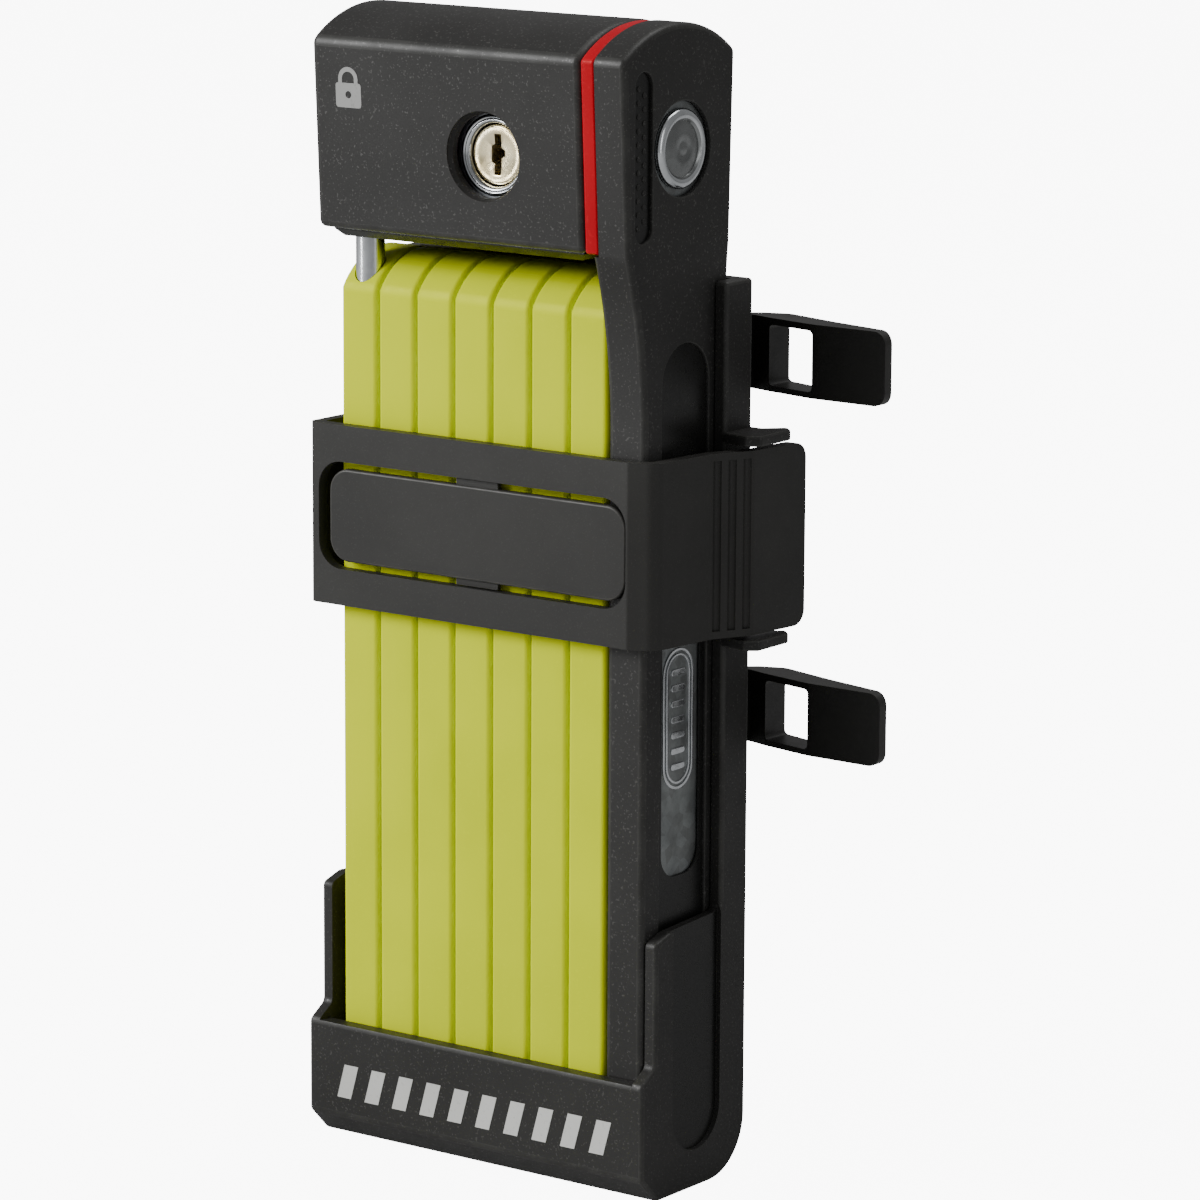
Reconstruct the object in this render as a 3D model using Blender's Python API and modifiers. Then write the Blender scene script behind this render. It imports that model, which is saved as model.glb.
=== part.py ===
"""Folding lock standing in its frame holder, as separate closed solids.

Metres, +Z up. X runs across the stack of bars and -Y is the keyhole side.
The origin is on the flat foot of the holder. Sizes below are in millimetres.
"""
import math

import bmesh
import bpy
from mathutils import Matrix, Vector

MM = 0.001

# Fits
FIT = 0.30            # gap between neighbouring pieces
CLOSE_FIT = 0.15      # gap between a piece and the bore or pocket it fills

# Bars: steel cores in coloured sleeves, riveted end to end in a zigzag
BAR_COUNT = 7
BAR_PITCH = 7.8
BAR_DEPTH = 22.0
PIVOT_SPAN = 125.0    # between the two rivets of a bar
PIVOT_EDGE = 11.0     # from a rivet to the tip of the bar
END_FLATNESS = 2.0    # arc radius of a bar end, beyond half its depth
CORE_THICK = 5.0
CORE_INSET = 1.5      # sleeve cover over the edge of a core
BAR_CHAMFER = 0.8
RIVET_RADIUS = 3.4
RIVET_HEAD_RADIUS = 5.4
RIVET_HEAD_HEIGHT = 0.8

# Locking pin on the first bar
PIN_RADIUS = 2.4
PIN_NECK_RADIUS = 1.0
PIN_SPIGOT_RADIUS = 1.4
PIN_FRONT_EDGE = 3.2  # from the front of the bar to the pin's axis
PIN_REACH = 21.0      # how far it stands up inside the lock body

# Black link that carries the lock body
LEG_THICK = 7.3
LINK_CORE_THICK = 4.0
HEAD_NECK_DROP = 29.0  # length of the taper from head to leg
PANEL_WIDTH = 12.6
PANEL_DEPTH = 0.5
PANEL_LOW = 8.0
WINDOW_WIDTH = 10.4
WINDOW_LOW = 52.5
WINDOW_HIGH = 108.0
HEAD_RIVET_RADIUS = 4.0
HEAD_RIVET_CAP = 6.4
HEAD_RIVET_RECESS = 7.6
HEAD_RIVET_BACK = -1.3
HEAD_RIVET_RISE = 16.0
GROOVE_WIDTH = 4.6
GROOVE_LENGTH = 27.0
GROOVE_DEPTH = 0.6
GROOVE_FRONT = 3.2

# Lock body
HEAD_GAP = 4.0        # from the tip of the bars to the underside
HEAD_STEP = 1.4       # from the inner face of the leg to that of the head
BODY_OVERHANG = 1.0   # past the left face of the first bar
BODY_HEIGHT = 30.8
DOME_HEIGHT = 5.2
NOSE_LOW = 4.6        # how far the body stands out before the bars
NOSE_TOP = 6.2
TAIL_LOW = 1.1        # and behind them
TAIL_TOP = 2.0
BODY_WALL = 2.2
BODY_END_WALL = 1.4
BODY_EDGE = 1.3
TRIM_THICK = 2.7
BASE_PLATE_THICK = 1.2
BASE_PLATE_DROP = 1.6  # how far it stands out below the housing
CASE_EDGE = 0.5

# Cylinder, key plug and bolt
KEY_X = 3.9
KEY_RISE = 14.0
CYLINDER_RADIUS = 6.5
PLUG_RADIUS = 4.9
PLUG_RECESS = 3.0
CYLINDER_LENGTH = 17.6
KEYWAY_WIDTH = 1.3
KEYWAY_HEIGHT = 7.2
CAM_RADIUS = 5.0
CAM_THICK = 2.4
CRANK = 2.12          # from the plug's axis to the drive pin
DRIVE_PIN_RADIUS = 1.0
DRIVE_PIN_LENGTH = 2.6
BOLT_SIZE = 4.8
BOLT_TRAVEL = 3.0
YOKE_THICK = 2.0

# Holder
HOLDER_WALL = 2.2
LEFT_ROOM = 2.9       # free space beside the first bar
CUP_FRONT_WALL = 2.5
FLOOR = 3.6
CUP_HEIGHT = 20.2
SIDE_HEIGHT = 44.5
SIDE_FRONT = 10.4
BACK_ROOM = 0.9       # free space behind the bars
BACK_THICK = 3.1
BACK_HEIGHT = 148.9
FLANGE_DEPTH = 7.4
TOE_CHAMFER = 4.4
HEEL_RADIUS = 9.8
SIDE_PANEL_WIDTH = 13.2
SIDE_PANEL_DEPTH = 0.8
SIDE_PANEL_LOW = 6.5
LEDGE_THICK = 1.8
LEDGE_REACH = 6.6
LEDGE_GAP = 0.7

# Strap
STRAP_LOW = 91.9
STRAP_HEIGHT = 30.2
STRAP_THICK = 2.0
STRAP_FRONT_GAP = 0.6
STRAP_SIDE_GAP = 0.9
FACET_RUN = 4.4
FACET_DROP = 1.8
ARM_RUN = 13.2
ARM_SPREAD = 1.5
RAMP_RUN = 6.5
RAMP_SPREAD = 3.2
TAB_RUN = 13.0
TAB_SPREAD = 1.5
STRAP_POST = 2.2
STRAP_RAIL = 6.1
WINDOW_RADIUS = 4.6
PAD_GAP_SIDE = 2.0
PAD_GAP_RAIL = 1.25
PAD_RADIUS = 3.8
PAD_BRIDGE = 8.6
PAD_THICK = 1.7
GRIP_RADIUS = 0.75
GRIP_MARGIN = 1.6

# Saddles for the bicycle frame: a cradle with a slotted lip on each side
SADDLE_HEIGHT = 12.2
SADDLE_UPPER = 128.2
SADDLE_LOWER = 68.7
SADDLE_REACH = 53.4
SADDLE_BASE = 14.5    # half width of the foot against the spine
SADDLE_BED = 6.8      # thickness behind the spine
SADDLE_LIP = 13.9     # from the back of the spine to the root of a lip
SADDLE_HORN = 18.6    # and to the crest of the cradle
SADDLE_SLOT_IN = 29.2
SADDLE_SLOT_WIDTH = 9.8
SADDLE_SLOT_TOP = 1.0
SADDLE_SLOT_HEIGHT = 10.1
BOSS_WIDTH = 20.0
BOSS_HEIGHT = 7.0
BOSS_LENGTH = 2.6
SCREW_RADIUS = 2.0
SCREW_HEAD_RADIUS = 3.8
SCREW_HEAD_HEIGHT = 2.0
SCREW_LENGTH = 8.2

ROUND = 20            # segments of a full circle
ARC = 7               # segments of an arc

# Derived positions
HALF_DEPTH = BAR_DEPTH / 2
END_RADIUS = HALF_DEPTH + END_FLATNESS
FRONT_LOW = HALF_DEPTH + NOSE_LOW
FRONT_TOP = HALF_DEPTH + NOSE_TOP
REAR_LOW = HALF_DEPTH + TAIL_LOW
REAR_TOP = HALF_DEPTH + TAIL_TOP
STACK_WIDTH = BAR_COUNT * BAR_PITCH
INNER_WIDTH = LEFT_ROOM + STACK_WIDTH + LEG_THICK + FIT
CUP_HALF = INNER_WIDTH / 2 + HOLDER_WALL
STACK_X = -INNER_WIDTH / 2 + LEFT_ROOM
LEG_X0 = STACK_X + STACK_WIDTH
LINK_X1 = LEG_X0 + LEG_THICK
TIP_LOW = FLOOR + FIT
PIVOT_LOW = TIP_LOW + PIVOT_EDGE
PIVOT_HIGH = PIVOT_LOW + PIVOT_SPAN
TIP_HIGH = PIVOT_HIGH + PIVOT_EDGE
BODY_Z = TIP_HIGH + HEAD_GAP
BODY_TOP = BODY_Z + BODY_HEIGHT
BODY_X0 = STACK_X - BODY_OVERHANG
HEAD_X0 = LEG_X0 + HEAD_STEP
TRIM_X1 = HEAD_X0 - CLOSE_FIT
TRIM_X0 = TRIM_X1 - TRIM_THICK
BODY_X1 = TRIM_X0 - CLOSE_FIT
LINK_CORE_X0 = (HEAD_X0 + LINK_X1 - LINK_CORE_THICK) / 2
LINK_CORE_X1 = LINK_CORE_X0 + LINK_CORE_THICK
PIN_X = STACK_X + (BAR_PITCH - FIT) / 2
PIN_Y = -HALF_DEPTH + PIN_FRONT_EDGE
KEY_Z = BODY_Z + KEY_RISE
PLUG_FRONT = -FRONT_LOW + PLUG_RECESS - 0.6
PLUG_REAR = PLUG_FRONT + CYLINDER_LENGTH
CAM_Y0 = PLUG_REAR + CLOSE_FIT
CAM_Y1 = CAM_Y0 + CAM_THICK
YOKE_Y0 = CAM_Y1 + FIT
YOKE_Y1 = YOKE_Y0 + YOKE_THICK
HEAD_RIVET_Z = BODY_Z + HEAD_RIVET_RISE
BACK_Y0 = HALF_DEPTH + BACK_ROOM
BACK_Y1 = BACK_Y0 + BACK_THICK
CUP_FRONT = -HALF_DEPTH - FIT - 0.2 - CUP_FRONT_WALL
STRAP_TOP = STRAP_LOW + STRAP_HEIGHT
STRAP_INNER_Y = -HALF_DEPTH - STRAP_FRONT_GAP
STRAP_OUTER_Y = STRAP_INNER_Y - STRAP_THICK
STRAP_LEFT = -CUP_HALF + 0.2
HINGE_X = STRAP_LEFT + STRAP_THICK / 2
HINGE_Y = STRAP_OUTER_Y + STRAP_THICK / 2
STRAP_SIDE_X = LINK_X1 + STRAP_SIDE_GAP + STRAP_THICK

PARTS = bpy.data.collections.new("folding_lock_in_holder")


# --- shared tools -----------------------------------------------------------

def clear_scene():
    for obj in list(bpy.data.objects):
        bpy.data.objects.remove(obj, do_unlink=True)
    bpy.context.scene.collection.children.link(PARTS)


def colour(name, rgb, roughness, metallic=0.0):
    mat = bpy.data.materials.new(name)
    mat.use_nodes = True
    shader = mat.node_tree.nodes["Principled BSDF"]
    shader.inputs["Base Color"].default_value = (*rgb, 1.0)
    shader.inputs["Roughness"].default_value = roughness
    shader.inputs["Metallic"].default_value = metallic
    return mat


def add_mesh(name, mesh):
    obj = bpy.data.objects.new(name, mesh)
    PARTS.objects.link(obj)
    return obj


def add_bmesh(name, bm):
    bmesh.ops.recalc_face_normals(bm, faces=bm.faces)
    mesh = bpy.data.meshes.new(name)
    bm.to_mesh(mesh)
    bm.free()
    return add_mesh(name, mesh)


def bake(obj):
    """Replace an object's data with its evaluated, welded mesh."""
    graph = bpy.context.evaluated_depsgraph_get()
    graph.update()
    mesh = bpy.data.meshes.new_from_object(obj.evaluated_get(graph))
    bm = bmesh.new()
    bm.from_mesh(mesh)
    bmesh.ops.remove_doubles(bm, verts=bm.verts, dist=1e-6)
    bmesh.ops.dissolve_degenerate(bm, edges=bm.edges, dist=1e-7)
    bm.to_mesh(mesh)
    bm.free()
    name = obj.name
    place = obj.matrix_world.copy()
    bpy.data.objects.remove(obj, do_unlink=True)
    mesh.transform(place)
    mesh.name = name
    return add_mesh(name, mesh)


def box(name, low, high):
    bm = bmesh.new()
    size = [(b - a) * MM for a, b in zip(low, high)]
    middle = Vector([(a + b) / 2 * MM for a, b in zip(low, high)])
    bmesh.ops.create_cube(bm, size=1.0)
    bmesh.ops.scale(bm, vec=size, verts=bm.verts)
    bmesh.ops.translate(bm, vec=middle, verts=bm.verts)
    return add_bmesh(name, bm)


TURN = {
    "X": Matrix(((0, 0, 1, 0), (1, 0, 0, 0), (0, 1, 0, 0), (0, 0, 0, 1))),
    "Y": Matrix(((1, 0, 0, 0), (0, 0, -1, 0), (0, 1, 0, 0), (0, 0, 0, 1))),
    "Z": Matrix.Identity(4),
}
AXIS = {"X": Vector((1, 0, 0)), "Y": Vector((0, 1, 0)), "Z": Vector((0, 0, 1))}


def prism(name, outline, start, end, axis):
    """Fill a flat outline and extrude it along an axis from start to end."""
    curve = bpy.data.curves.new(name, "CURVE")
    curve.dimensions = "2D"
    curve.fill_mode = "BOTH"
    curve.extrude = abs(end - start) / 2 * MM
    line = curve.splines.new("POLY")
    line.points.add(len(outline) - 1)
    for point, (u, v) in zip(line.points, outline):
        point.co = (u * MM, v * MM, 0.0, 1.0)
    line.use_cyclic_u = True
    obj = bake(add_mesh(name, curve))
    place = Matrix.Translation(AXIS[axis] * (start + end) / 2 * MM)
    bm = bmesh.new()
    bm.from_mesh(obj.data)
    bmesh.ops.transform(bm, matrix=place @ TURN[axis], verts=bm.verts)
    bmesh.ops.dissolve_limit(bm, angle_limit=math.radians(0.5),
                             verts=bm.verts, edges=bm.edges)
    bmesh.ops.recalc_face_normals(bm, faces=bm.faces)
    bm.to_mesh(obj.data)
    bm.free()
    return obj


def lathe(name, profile, centre, axis, segments=ROUND):
    """Spin a (radius, height) outline about an axis through centre."""
    mesh = bpy.data.meshes.new(name)
    verts = [(r * MM, 0.0, h * MM) for r, h in profile]
    edges = [(i, i + 1) for i in range(len(verts) - 1)]
    mesh.from_pydata(verts, edges, [])
    obj = add_mesh(name, mesh)
    spin = obj.modifiers.new("spin", "SCREW")
    spin.steps = segments
    spin.render_steps = segments
    spin.use_merge_vertices = True
    spin.merge_threshold = 1e-5
    obj = bake(obj)
    place = Matrix.Translation(Vector(centre) * MM)
    bm = bmesh.new()
    bm.from_mesh(obj.data)
    bmesh.ops.transform(bm, matrix=place @ TURN[axis], verts=bm.verts)
    bmesh.ops.recalc_face_normals(bm, faces=bm.faces)
    bm.to_mesh(obj.data)
    bm.free()
    return obj


def rod(name, radius, centre, start, end, axis, segments=ROUND):
    """A round bar along an axis; lathe heights on Y run backwards."""
    if axis == "Y":
        start, end = -end, -start
    profile = [(0, end), (radius, end), (radius, start), (0, start)]
    return lathe(name, profile, centre, axis, segments)


def combine(obj, tools, operation):
    for tool in tools:
        step = obj.modifiers.new("step", "BOOLEAN")
        step.operation = operation
        step.solver = "EXACT"
        step.object = tool
        obj = bake(obj)
        bpy.data.objects.remove(tool, do_unlink=True)
    return obj


def cut(obj, *tools):
    return combine(obj, tools, "DIFFERENCE")


def join(obj, *tools):
    return combine(obj, tools, "UNION")


def soften(obj, width, segments=2, angle=40.0):
    edge = obj.modifiers.new("edge", "BEVEL")
    edge.width = width * MM
    edge.segments = segments
    edge.limit_method = "ANGLE"
    edge.angle_limit = math.radians(angle)
    edge.harden_normals = False
    return bake(obj)


def finish(obj, name, mat, origin=None):
    obj.name = name
    obj.data.name = name
    obj.data.materials.clear()
    obj.data.materials.append(mat)
    for face in obj.data.polygons:
        face.use_smooth = True
    obj.data.set_sharp_from_angle(angle=math.radians(32))
    if origin is not None:
        place = Vector(origin) * MM
        obj.data.transform(Matrix.Translation(-place))
        obj.location = place
    return obj


def arc(centre, radius, first, last, steps=ARC):
    """Points on an arc, angles in degrees."""
    angles = [math.radians(first + (last - first) * i / steps)
              for i in range(steps + 1)]
    return [(centre[0] + radius * math.cos(a), centre[1] + radius * math.sin(a))
            for a in angles]


def bow(first, last, rise, steps=ARC):
    """Points from first to last on an arc that bulges to the left by rise."""
    a = Vector(first)
    b = Vector(last)
    chord = b - a
    half = chord.length / 2
    radius = (half * half + rise * rise) / (2 * rise)
    normal = Vector((-chord.y, chord.x)).normalized()
    centre = (a + b) / 2 + normal * (rise - radius)
    start = math.atan2(a.y - centre.y, a.x - centre.x)
    sweep = -2 * math.asin(half / radius)
    return [(centre.x + radius * math.cos(start + sweep * i / steps),
             centre.y + radius * math.sin(start + sweep * i / steps))
            for i in range(steps + 1)]


def rounded_rect(u0, u1, v0, v1, radius, steps=5):
    return (arc((u1 - radius, v1 - radius), radius, 0, 90, steps)
            + arc((u0 + radius, v1 - radius), radius, 90, 180, steps)
            + arc((u0 + radius, v0 + radius), radius, 180, 270, steps)
            + arc((u1 - radius, v0 + radius), radius, 270, 360, steps))


def fillet(points, radii, steps=4):
    """Round the inner corners of an open line, by one radius or one each."""
    line = [points[0]]
    if not isinstance(radii, list):
        radii = [radii] * (len(points) - 2)
    for before, corner, after, radius in zip(points, points[1:], points[2:],
                                             radii):
        here = Vector(corner)
        back = (Vector(before) - here).normalized()
        ahead = (Vector(after) - here).normalized()
        half = back.angle(ahead) / 2
        reach = radius / math.tan(half)
        middle = here + (back + ahead).normalized() * radius / math.sin(half)
        a = here + back * reach - middle
        b = here + ahead * reach - middle
        turn = a.angle_signed(b)
        first = math.atan2(a.y, a.x)
        for i in range(steps + 1):
            t = first - turn * i / steps
            line.append((middle.x + radius * math.cos(t),
                         middle.y + radius * math.sin(t)))
    line.append(points[-1])
    return line


def offset(points, distance):
    """Copy an open line to its left by a distance, with mitred corners."""
    out = []
    for i, point in enumerate(points):
        here = Vector(point)
        into = (here - Vector(points[max(i - 1, 0)])).normalized()
        onto = (Vector(points[min(i + 1, len(points) - 1)]) - here).normalized()
        into = into if into.length > 0 else onto
        onto = onto if onto.length > 0 else into
        way = (into + onto).normalized()
        normal = Vector((-way.y, way.x))
        out.append(tuple(here + normal * distance / max(way.dot(onto), 0.5)))
    return out


# --- bars -------------------------------------------------------------------

def bar_outline(inset):
    """Side view of a bar: straight edges and an arc across each end."""
    half = HALF_DEPTH - inset
    top = TIP_HIGH - inset
    low = TIP_LOW + inset
    radius = END_RADIUS - inset
    spread = math.degrees(math.asin(half / radius))
    upper = arc((0, top - radius), radius, 90 - spread, 90 + spread)
    lower = arc((0, low + radius), radius, 270 - spread, 270 + spread)
    return upper + lower


def bar_left(index):
    return STACK_X + index * BAR_PITCH


def core_left(index):
    return bar_left(index) + (BAR_PITCH - FIT - CORE_THICK) / 2


def rivet_ends():
    """Each rivet as (name, left plate, right plate, height)."""
    ends = []
    for right in range(BAR_COUNT, 0, -1):
        low = (BAR_COUNT - right) % 2 == 0
        height = PIVOT_LOW if low else PIVOT_HIGH
        ends.append((right - 1, right, height))
    return ends


def plate_face(index, side):
    """X of the left or right face of a steel plate; the link comes last."""
    if index == BAR_COUNT:
        return LINK_CORE_X0 if side == "left" else LINK_CORE_X1
    return core_left(index) + (0 if side == "left" else CORE_THICK)


def rivet_bores(index, radius_extra, outward):
    """Cutters for the rivets that hold one plate."""
    tools = []
    for left, right, height in rivet_ends():
        if index not in (left, right):
            continue
        start = plate_face(left, "left") - outward
        end = plate_face(right, "right") + outward
        tools.append(rod("bore", RIVET_RADIUS + radius_extra, (0, 0, height),
                         start, end, "X"))
    return tools


def head_bores(index):
    """Cutters that let each rivet head lie flush in the outer sleeve wall."""
    tools = []
    reach = BAR_PITCH
    radius = RIVET_HEAD_RADIUS + CLOSE_FIT
    for left, right, height in rivet_ends():
        if index == left:
            start = plate_face(left, "left") - reach
            end = plate_face(left, "left") + CLOSE_FIT
        elif index == right:
            start = plate_face(right, "right") - CLOSE_FIT
            end = plate_face(right, "right") + reach
        else:
            continue
        tools.append(rod("head_bore", radius, (0, 0, height), start, end, "X"))
    return tools


def build_sleeve(index, mat):
    left = bar_left(index)
    right = left + BAR_PITCH - FIT
    sleeve = prism("sleeve", bar_outline(0), left, right, "X")
    sleeve = soften(sleeve, BAR_CHAMFER, 1)
    start = core_left(index) - CLOSE_FIT
    end = core_left(index) + CORE_THICK + CLOSE_FIT
    pocket = prism("pocket", bar_outline(CORE_INSET), start, end, "X")
    sleeve = cut(sleeve, pocket, *rivet_bores(index, CLOSE_FIT, 0),
                 *head_bores(index))
    if index == 0:
        sleeve = cut(sleeve, rod("pin_bore", PIN_RADIUS + CLOSE_FIT,
                                 (PIN_X, PIN_Y, 0), PIVOT_HIGH, BODY_Z, "Z"))
    return finish(sleeve, "bar_%d_sleeve" % (index + 1), mat)


def build_core(index, mat):
    start = core_left(index)
    outline = bar_outline(CORE_INSET + CLOSE_FIT)
    core = prism("core", outline, start, start + CORE_THICK, "X")
    core = cut(core, *rivet_bores(index, CLOSE_FIT, 1.0))
    if index == 0:
        seat = pin_seat() - CLOSE_FIT
        core = cut(core, rod("seat", PIN_RADIUS + CLOSE_FIT, (PIN_X, PIN_Y, 0),
                             seat, BODY_Z, "Z"),
                   rod("socket", PIN_SPIGOT_RADIUS + CLOSE_FIT,
                       (PIN_X, PIN_Y, 0), seat - 8, BODY_Z, "Z"))
    return finish(core, "bar_%d_core" % (index + 1), mat)


def build_rivet(number, left, right, height, mat):
    """A flush rivet: shank through both plates and a low head on each."""
    x0 = plate_face(left, "left") - CLOSE_FIT / 2
    x1 = plate_face(right, "right") + CLOSE_FIT / 2
    h = RIVET_HEAD_HEIGHT
    r = RIVET_HEAD_RADIUS
    profile = [(0, x1 + h), (r * 0.7, x1 + h), (r, x1 + h * 0.3), (r, x1),
               (RIVET_RADIUS, x1), (RIVET_RADIUS, x0), (r, x0),
               (r, x0 - h * 0.3), (r * 0.7, x0 - h), (0, x0 - h)]
    rivet = lathe("rivet", profile, (0, 0, height), "X")
    return finish(rivet, "fold_rivet_%d" % number, mat)


def pin_seat():
    """Height where the thick part of the pin starts, below the core's tip."""
    return TIP_HIGH - CORE_INSET - 4.0


def build_pin(mat):
    seat = pin_seat()
    top = BODY_Z + PIN_REACH
    neck_low = KEY_Z - BOLT_SIZE / 2 - FIT
    neck_high = KEY_Z + BOLT_SIZE / 2 + FIT
    r = PIN_RADIUS
    profile = [(0, top), (r - 0.9, top), (r, top - 1.2), (r, neck_high),
               (PIN_NECK_RADIUS, neck_high), (PIN_NECK_RADIUS, neck_low),
               (r, neck_low), (r, seat), (PIN_SPIGOT_RADIUS, seat),
               (PIN_SPIGOT_RADIUS, seat - 7), (0, seat - 7)]
    pin = lathe("pin", profile, (PIN_X, PIN_Y, 0), "Z")
    return finish(pin, "locking_pin", mat)


# --- black link -------------------------------------------------------------

def head_outline(inset, low):
    """Side view of the lock body: two leaning faces under a domed top."""
    front = (-FRONT_TOP + inset, BODY_TOP - inset)
    rear = (REAR_TOP - inset, BODY_TOP - inset)
    dome = bow(front, rear, DOME_HEIGHT, 14)
    return [(-FRONT_LOW + inset, low)] + dome + [(REAR_LOW - inset, low)]


def link_outline(inset):
    """Side view of the link: the head, a tapering neck and the long leg."""
    neck_low = BODY_Z - HEAD_NECK_DROP
    front = []
    rear = []
    for i in range(ARC + 1):
        t = 1 - i / ARC
        height = neck_low + (BODY_Z - neck_low) * (1 - t)
        nose = (FRONT_LOW - HALF_DEPTH) * (1 - t) ** 2
        heel = (REAR_LOW - HALF_DEPTH) * (1 - t) ** 3
        front.append((-HALF_DEPTH - nose + inset, height))
        rear.append((HALF_DEPTH + heel - inset, height))
    dome = bow((-FRONT_TOP + inset, BODY_TOP - inset),
               (REAR_TOP - inset, BODY_TOP - inset), DOME_HEIGHT, 14)
    half = HALF_DEPTH - inset
    radius = END_RADIUS - inset
    spread = math.degrees(math.asin(half / radius))
    foot = arc((0, TIP_LOW + inset + radius), radius,
               270 + spread, 270 - spread)
    return front + dome + rear[::-1] + foot


def head_rivet_bore(radius, start, end):
    return rod("bore", radius, (0, HEAD_RIVET_BACK, HEAD_RIVET_Z),
               start, end, "X")


def slot_outline(middle, width, low, high, steps=8):
    """A slot with round ends in the YZ plane."""
    r = width / 2
    return (arc((middle, high - r), r, 0, 180, steps)
            + arc((middle, low + r), r, 180, 360, steps))


def build_link_cover(mat):
    cover = prism("cover", link_outline(0), LEG_X0, LINK_X1, "X")
    cover = soften(cover, BAR_CHAMFER + 0.2)
    far = 50.0
    step = box("step", (LEG_X0 - 1, -far, BODY_Z - FIT),
               (HEAD_X0, far, BODY_Z + far))
    pocket = prism("pocket", link_outline(CORE_INSET),
                   LINK_CORE_X0 - CLOSE_FIT, LINK_CORE_X1 + CLOSE_FIT, "X")
    panel = prism("panel",
                  slot_outline(0, PANEL_WIDTH, PANEL_LOW, PIVOT_HIGH),
                  LINK_X1 - PANEL_DEPTH, LINK_X1 + 1, "X")
    window = prism("window",
                   rounded_rect(-WINDOW_WIDTH / 2, WINDOW_WIDTH / 2,
                                WINDOW_LOW, WINDOW_HIGH, 4.0),
                   LINK_CORE_X1, LINK_X1 + 1, "X")
    recess = head_rivet_bore(HEAD_RIVET_RECESS, LINK_CORE_X1, LINK_X1 + 1)
    through = head_rivet_bore(HEAD_RIVET_RADIUS + CLOSE_FIT,
                              LEG_X0 - 1, LINK_CORE_X0 + 1)
    groove_y = -FRONT_TOP + GROOVE_FRONT + GROOVE_WIDTH / 2
    groove_z = BODY_Z + (BODY_HEIGHT - GROOVE_LENGTH) / 2
    groove = prism("groove",
                   slot_outline(groove_y, GROOVE_WIDTH, groove_z,
                                groove_z + GROOVE_LENGTH),
                   LINK_X1 - GROOVE_DEPTH, LINK_X1 + 1, "X")
    lower = rod("lower", RIVET_RADIUS + CLOSE_FIT, (0, 0, PIVOT_LOW),
                LEG_X0 - 1, LINK_CORE_X0 + 1, "X")
    heads = rod("heads", RIVET_HEAD_RADIUS + CLOSE_FIT, (0, 0, PIVOT_LOW),
                LINK_CORE_X1 - CLOSE_FIT, LINK_X1 + 1, "X")
    cover = cut(cover, step, pocket, panel, window, recess, through,
                groove, lower, heads)
    return finish(cover, "link_cover", mat)


def build_link_core(mat):
    core = prism("core", link_outline(CORE_INSET + CLOSE_FIT),
                 LINK_CORE_X0, LINK_CORE_X1, "X")
    hole = head_rivet_bore(HEAD_RIVET_RADIUS + CLOSE_FIT,
                           LINK_CORE_X0 - 1, LINK_CORE_X1 + 1)
    lower = rod("lower", RIVET_RADIUS + CLOSE_FIT, (0, 0, PIVOT_LOW),
                LINK_CORE_X0 - 1, LINK_CORE_X1 + 1, "X")
    core = cut(core, hole, lower)
    return finish(core, "link_core", mat)


def build_head_rivet(mat):
    """Domed rivet with a raised rim that turns the body on its link."""
    face = LINK_CORE_X1 + CLOSE_FIT
    deep = BODY_X1 - BODY_WALL - 7.0
    r = HEAD_RIVET_CAP
    profile = [(0, face + 1.1), (r * 0.28, face + 1.05), (r * 0.55, face + 0.75),
               (r * 0.72, face + 0.55), (r * 0.80, face + 1.0),
               (r * 0.92, face + 1.0), (r, face + 0.55), (r, face),
               (HEAD_RIVET_RADIUS, face), (HEAD_RIVET_RADIUS, deep), (0, deep)]
    rivet = lathe("rivet", profile, (0, HEAD_RIVET_BACK, HEAD_RIVET_Z), "X", 36)
    return finish(rivet, "head_rivet", mat)


# --- lock body --------------------------------------------------------------

def build_housing(mat):
    shell = prism("shell", head_outline(0, BODY_Z), BODY_X0, BODY_X1, "X")
    shell = soften(shell, BODY_EDGE, 3)
    inner = [(-FRONT_LOW + BODY_WALL, BODY_Z - 1),
             (-FRONT_TOP + BODY_WALL, BODY_TOP - BODY_WALL),
             (REAR_TOP - BODY_WALL, BODY_TOP - BODY_WALL),
             (REAR_LOW - BODY_WALL, BODY_Z - 1)]
    cavity = prism("cavity", inner, BODY_X0 + BODY_END_WALL,
                   BODY_X1 - BODY_END_WALL, "X")
    far = 40.0
    keyhole = rod("keyhole", CYLINDER_RADIUS + FIT, (KEY_X, 0, KEY_Z),
                  -far, -FRONT_LOW + BODY_WALL + 1, "Y", 40)
    pivot = head_rivet_bore(HEAD_RIVET_RADIUS + CLOSE_FIT,
                            BODY_X1 - BODY_WALL - 1, BODY_X1 + 1)
    shell = cut(shell, cavity, keyhole, pivot)
    return finish(shell, "body_housing", mat)


def build_trim(mat):
    trim = prism("trim", head_outline(0.15, BODY_Z), TRIM_X0, TRIM_X1, "X")
    trim = soften(trim, 0.5)
    trim = cut(trim, head_rivet_bore(HEAD_RIVET_RADIUS + CLOSE_FIT,
                                     TRIM_X0 - 1, TRIM_X1 + 1))
    return finish(trim, "body_trim", mat)


def build_base_plate(mat):
    gap = BODY_WALL + CLOSE_FIT
    end_gap = BODY_END_WALL + CLOSE_FIT
    plate = box("plate", (BODY_X0 + end_gap, -FRONT_LOW + gap,
                          BODY_Z - BASE_PLATE_DROP),
                (BODY_X1 - end_gap, REAR_LOW - gap,
                 BODY_Z + 0.2 + BASE_PLATE_THICK))
    plate = cut(plate, rod("hole", PIN_RADIUS + FIT, (PIN_X, PIN_Y, 0),
                           BODY_Z - 5, BODY_Z + 5, "Z"))
    return finish(plate, "body_base_plate", mat)


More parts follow.
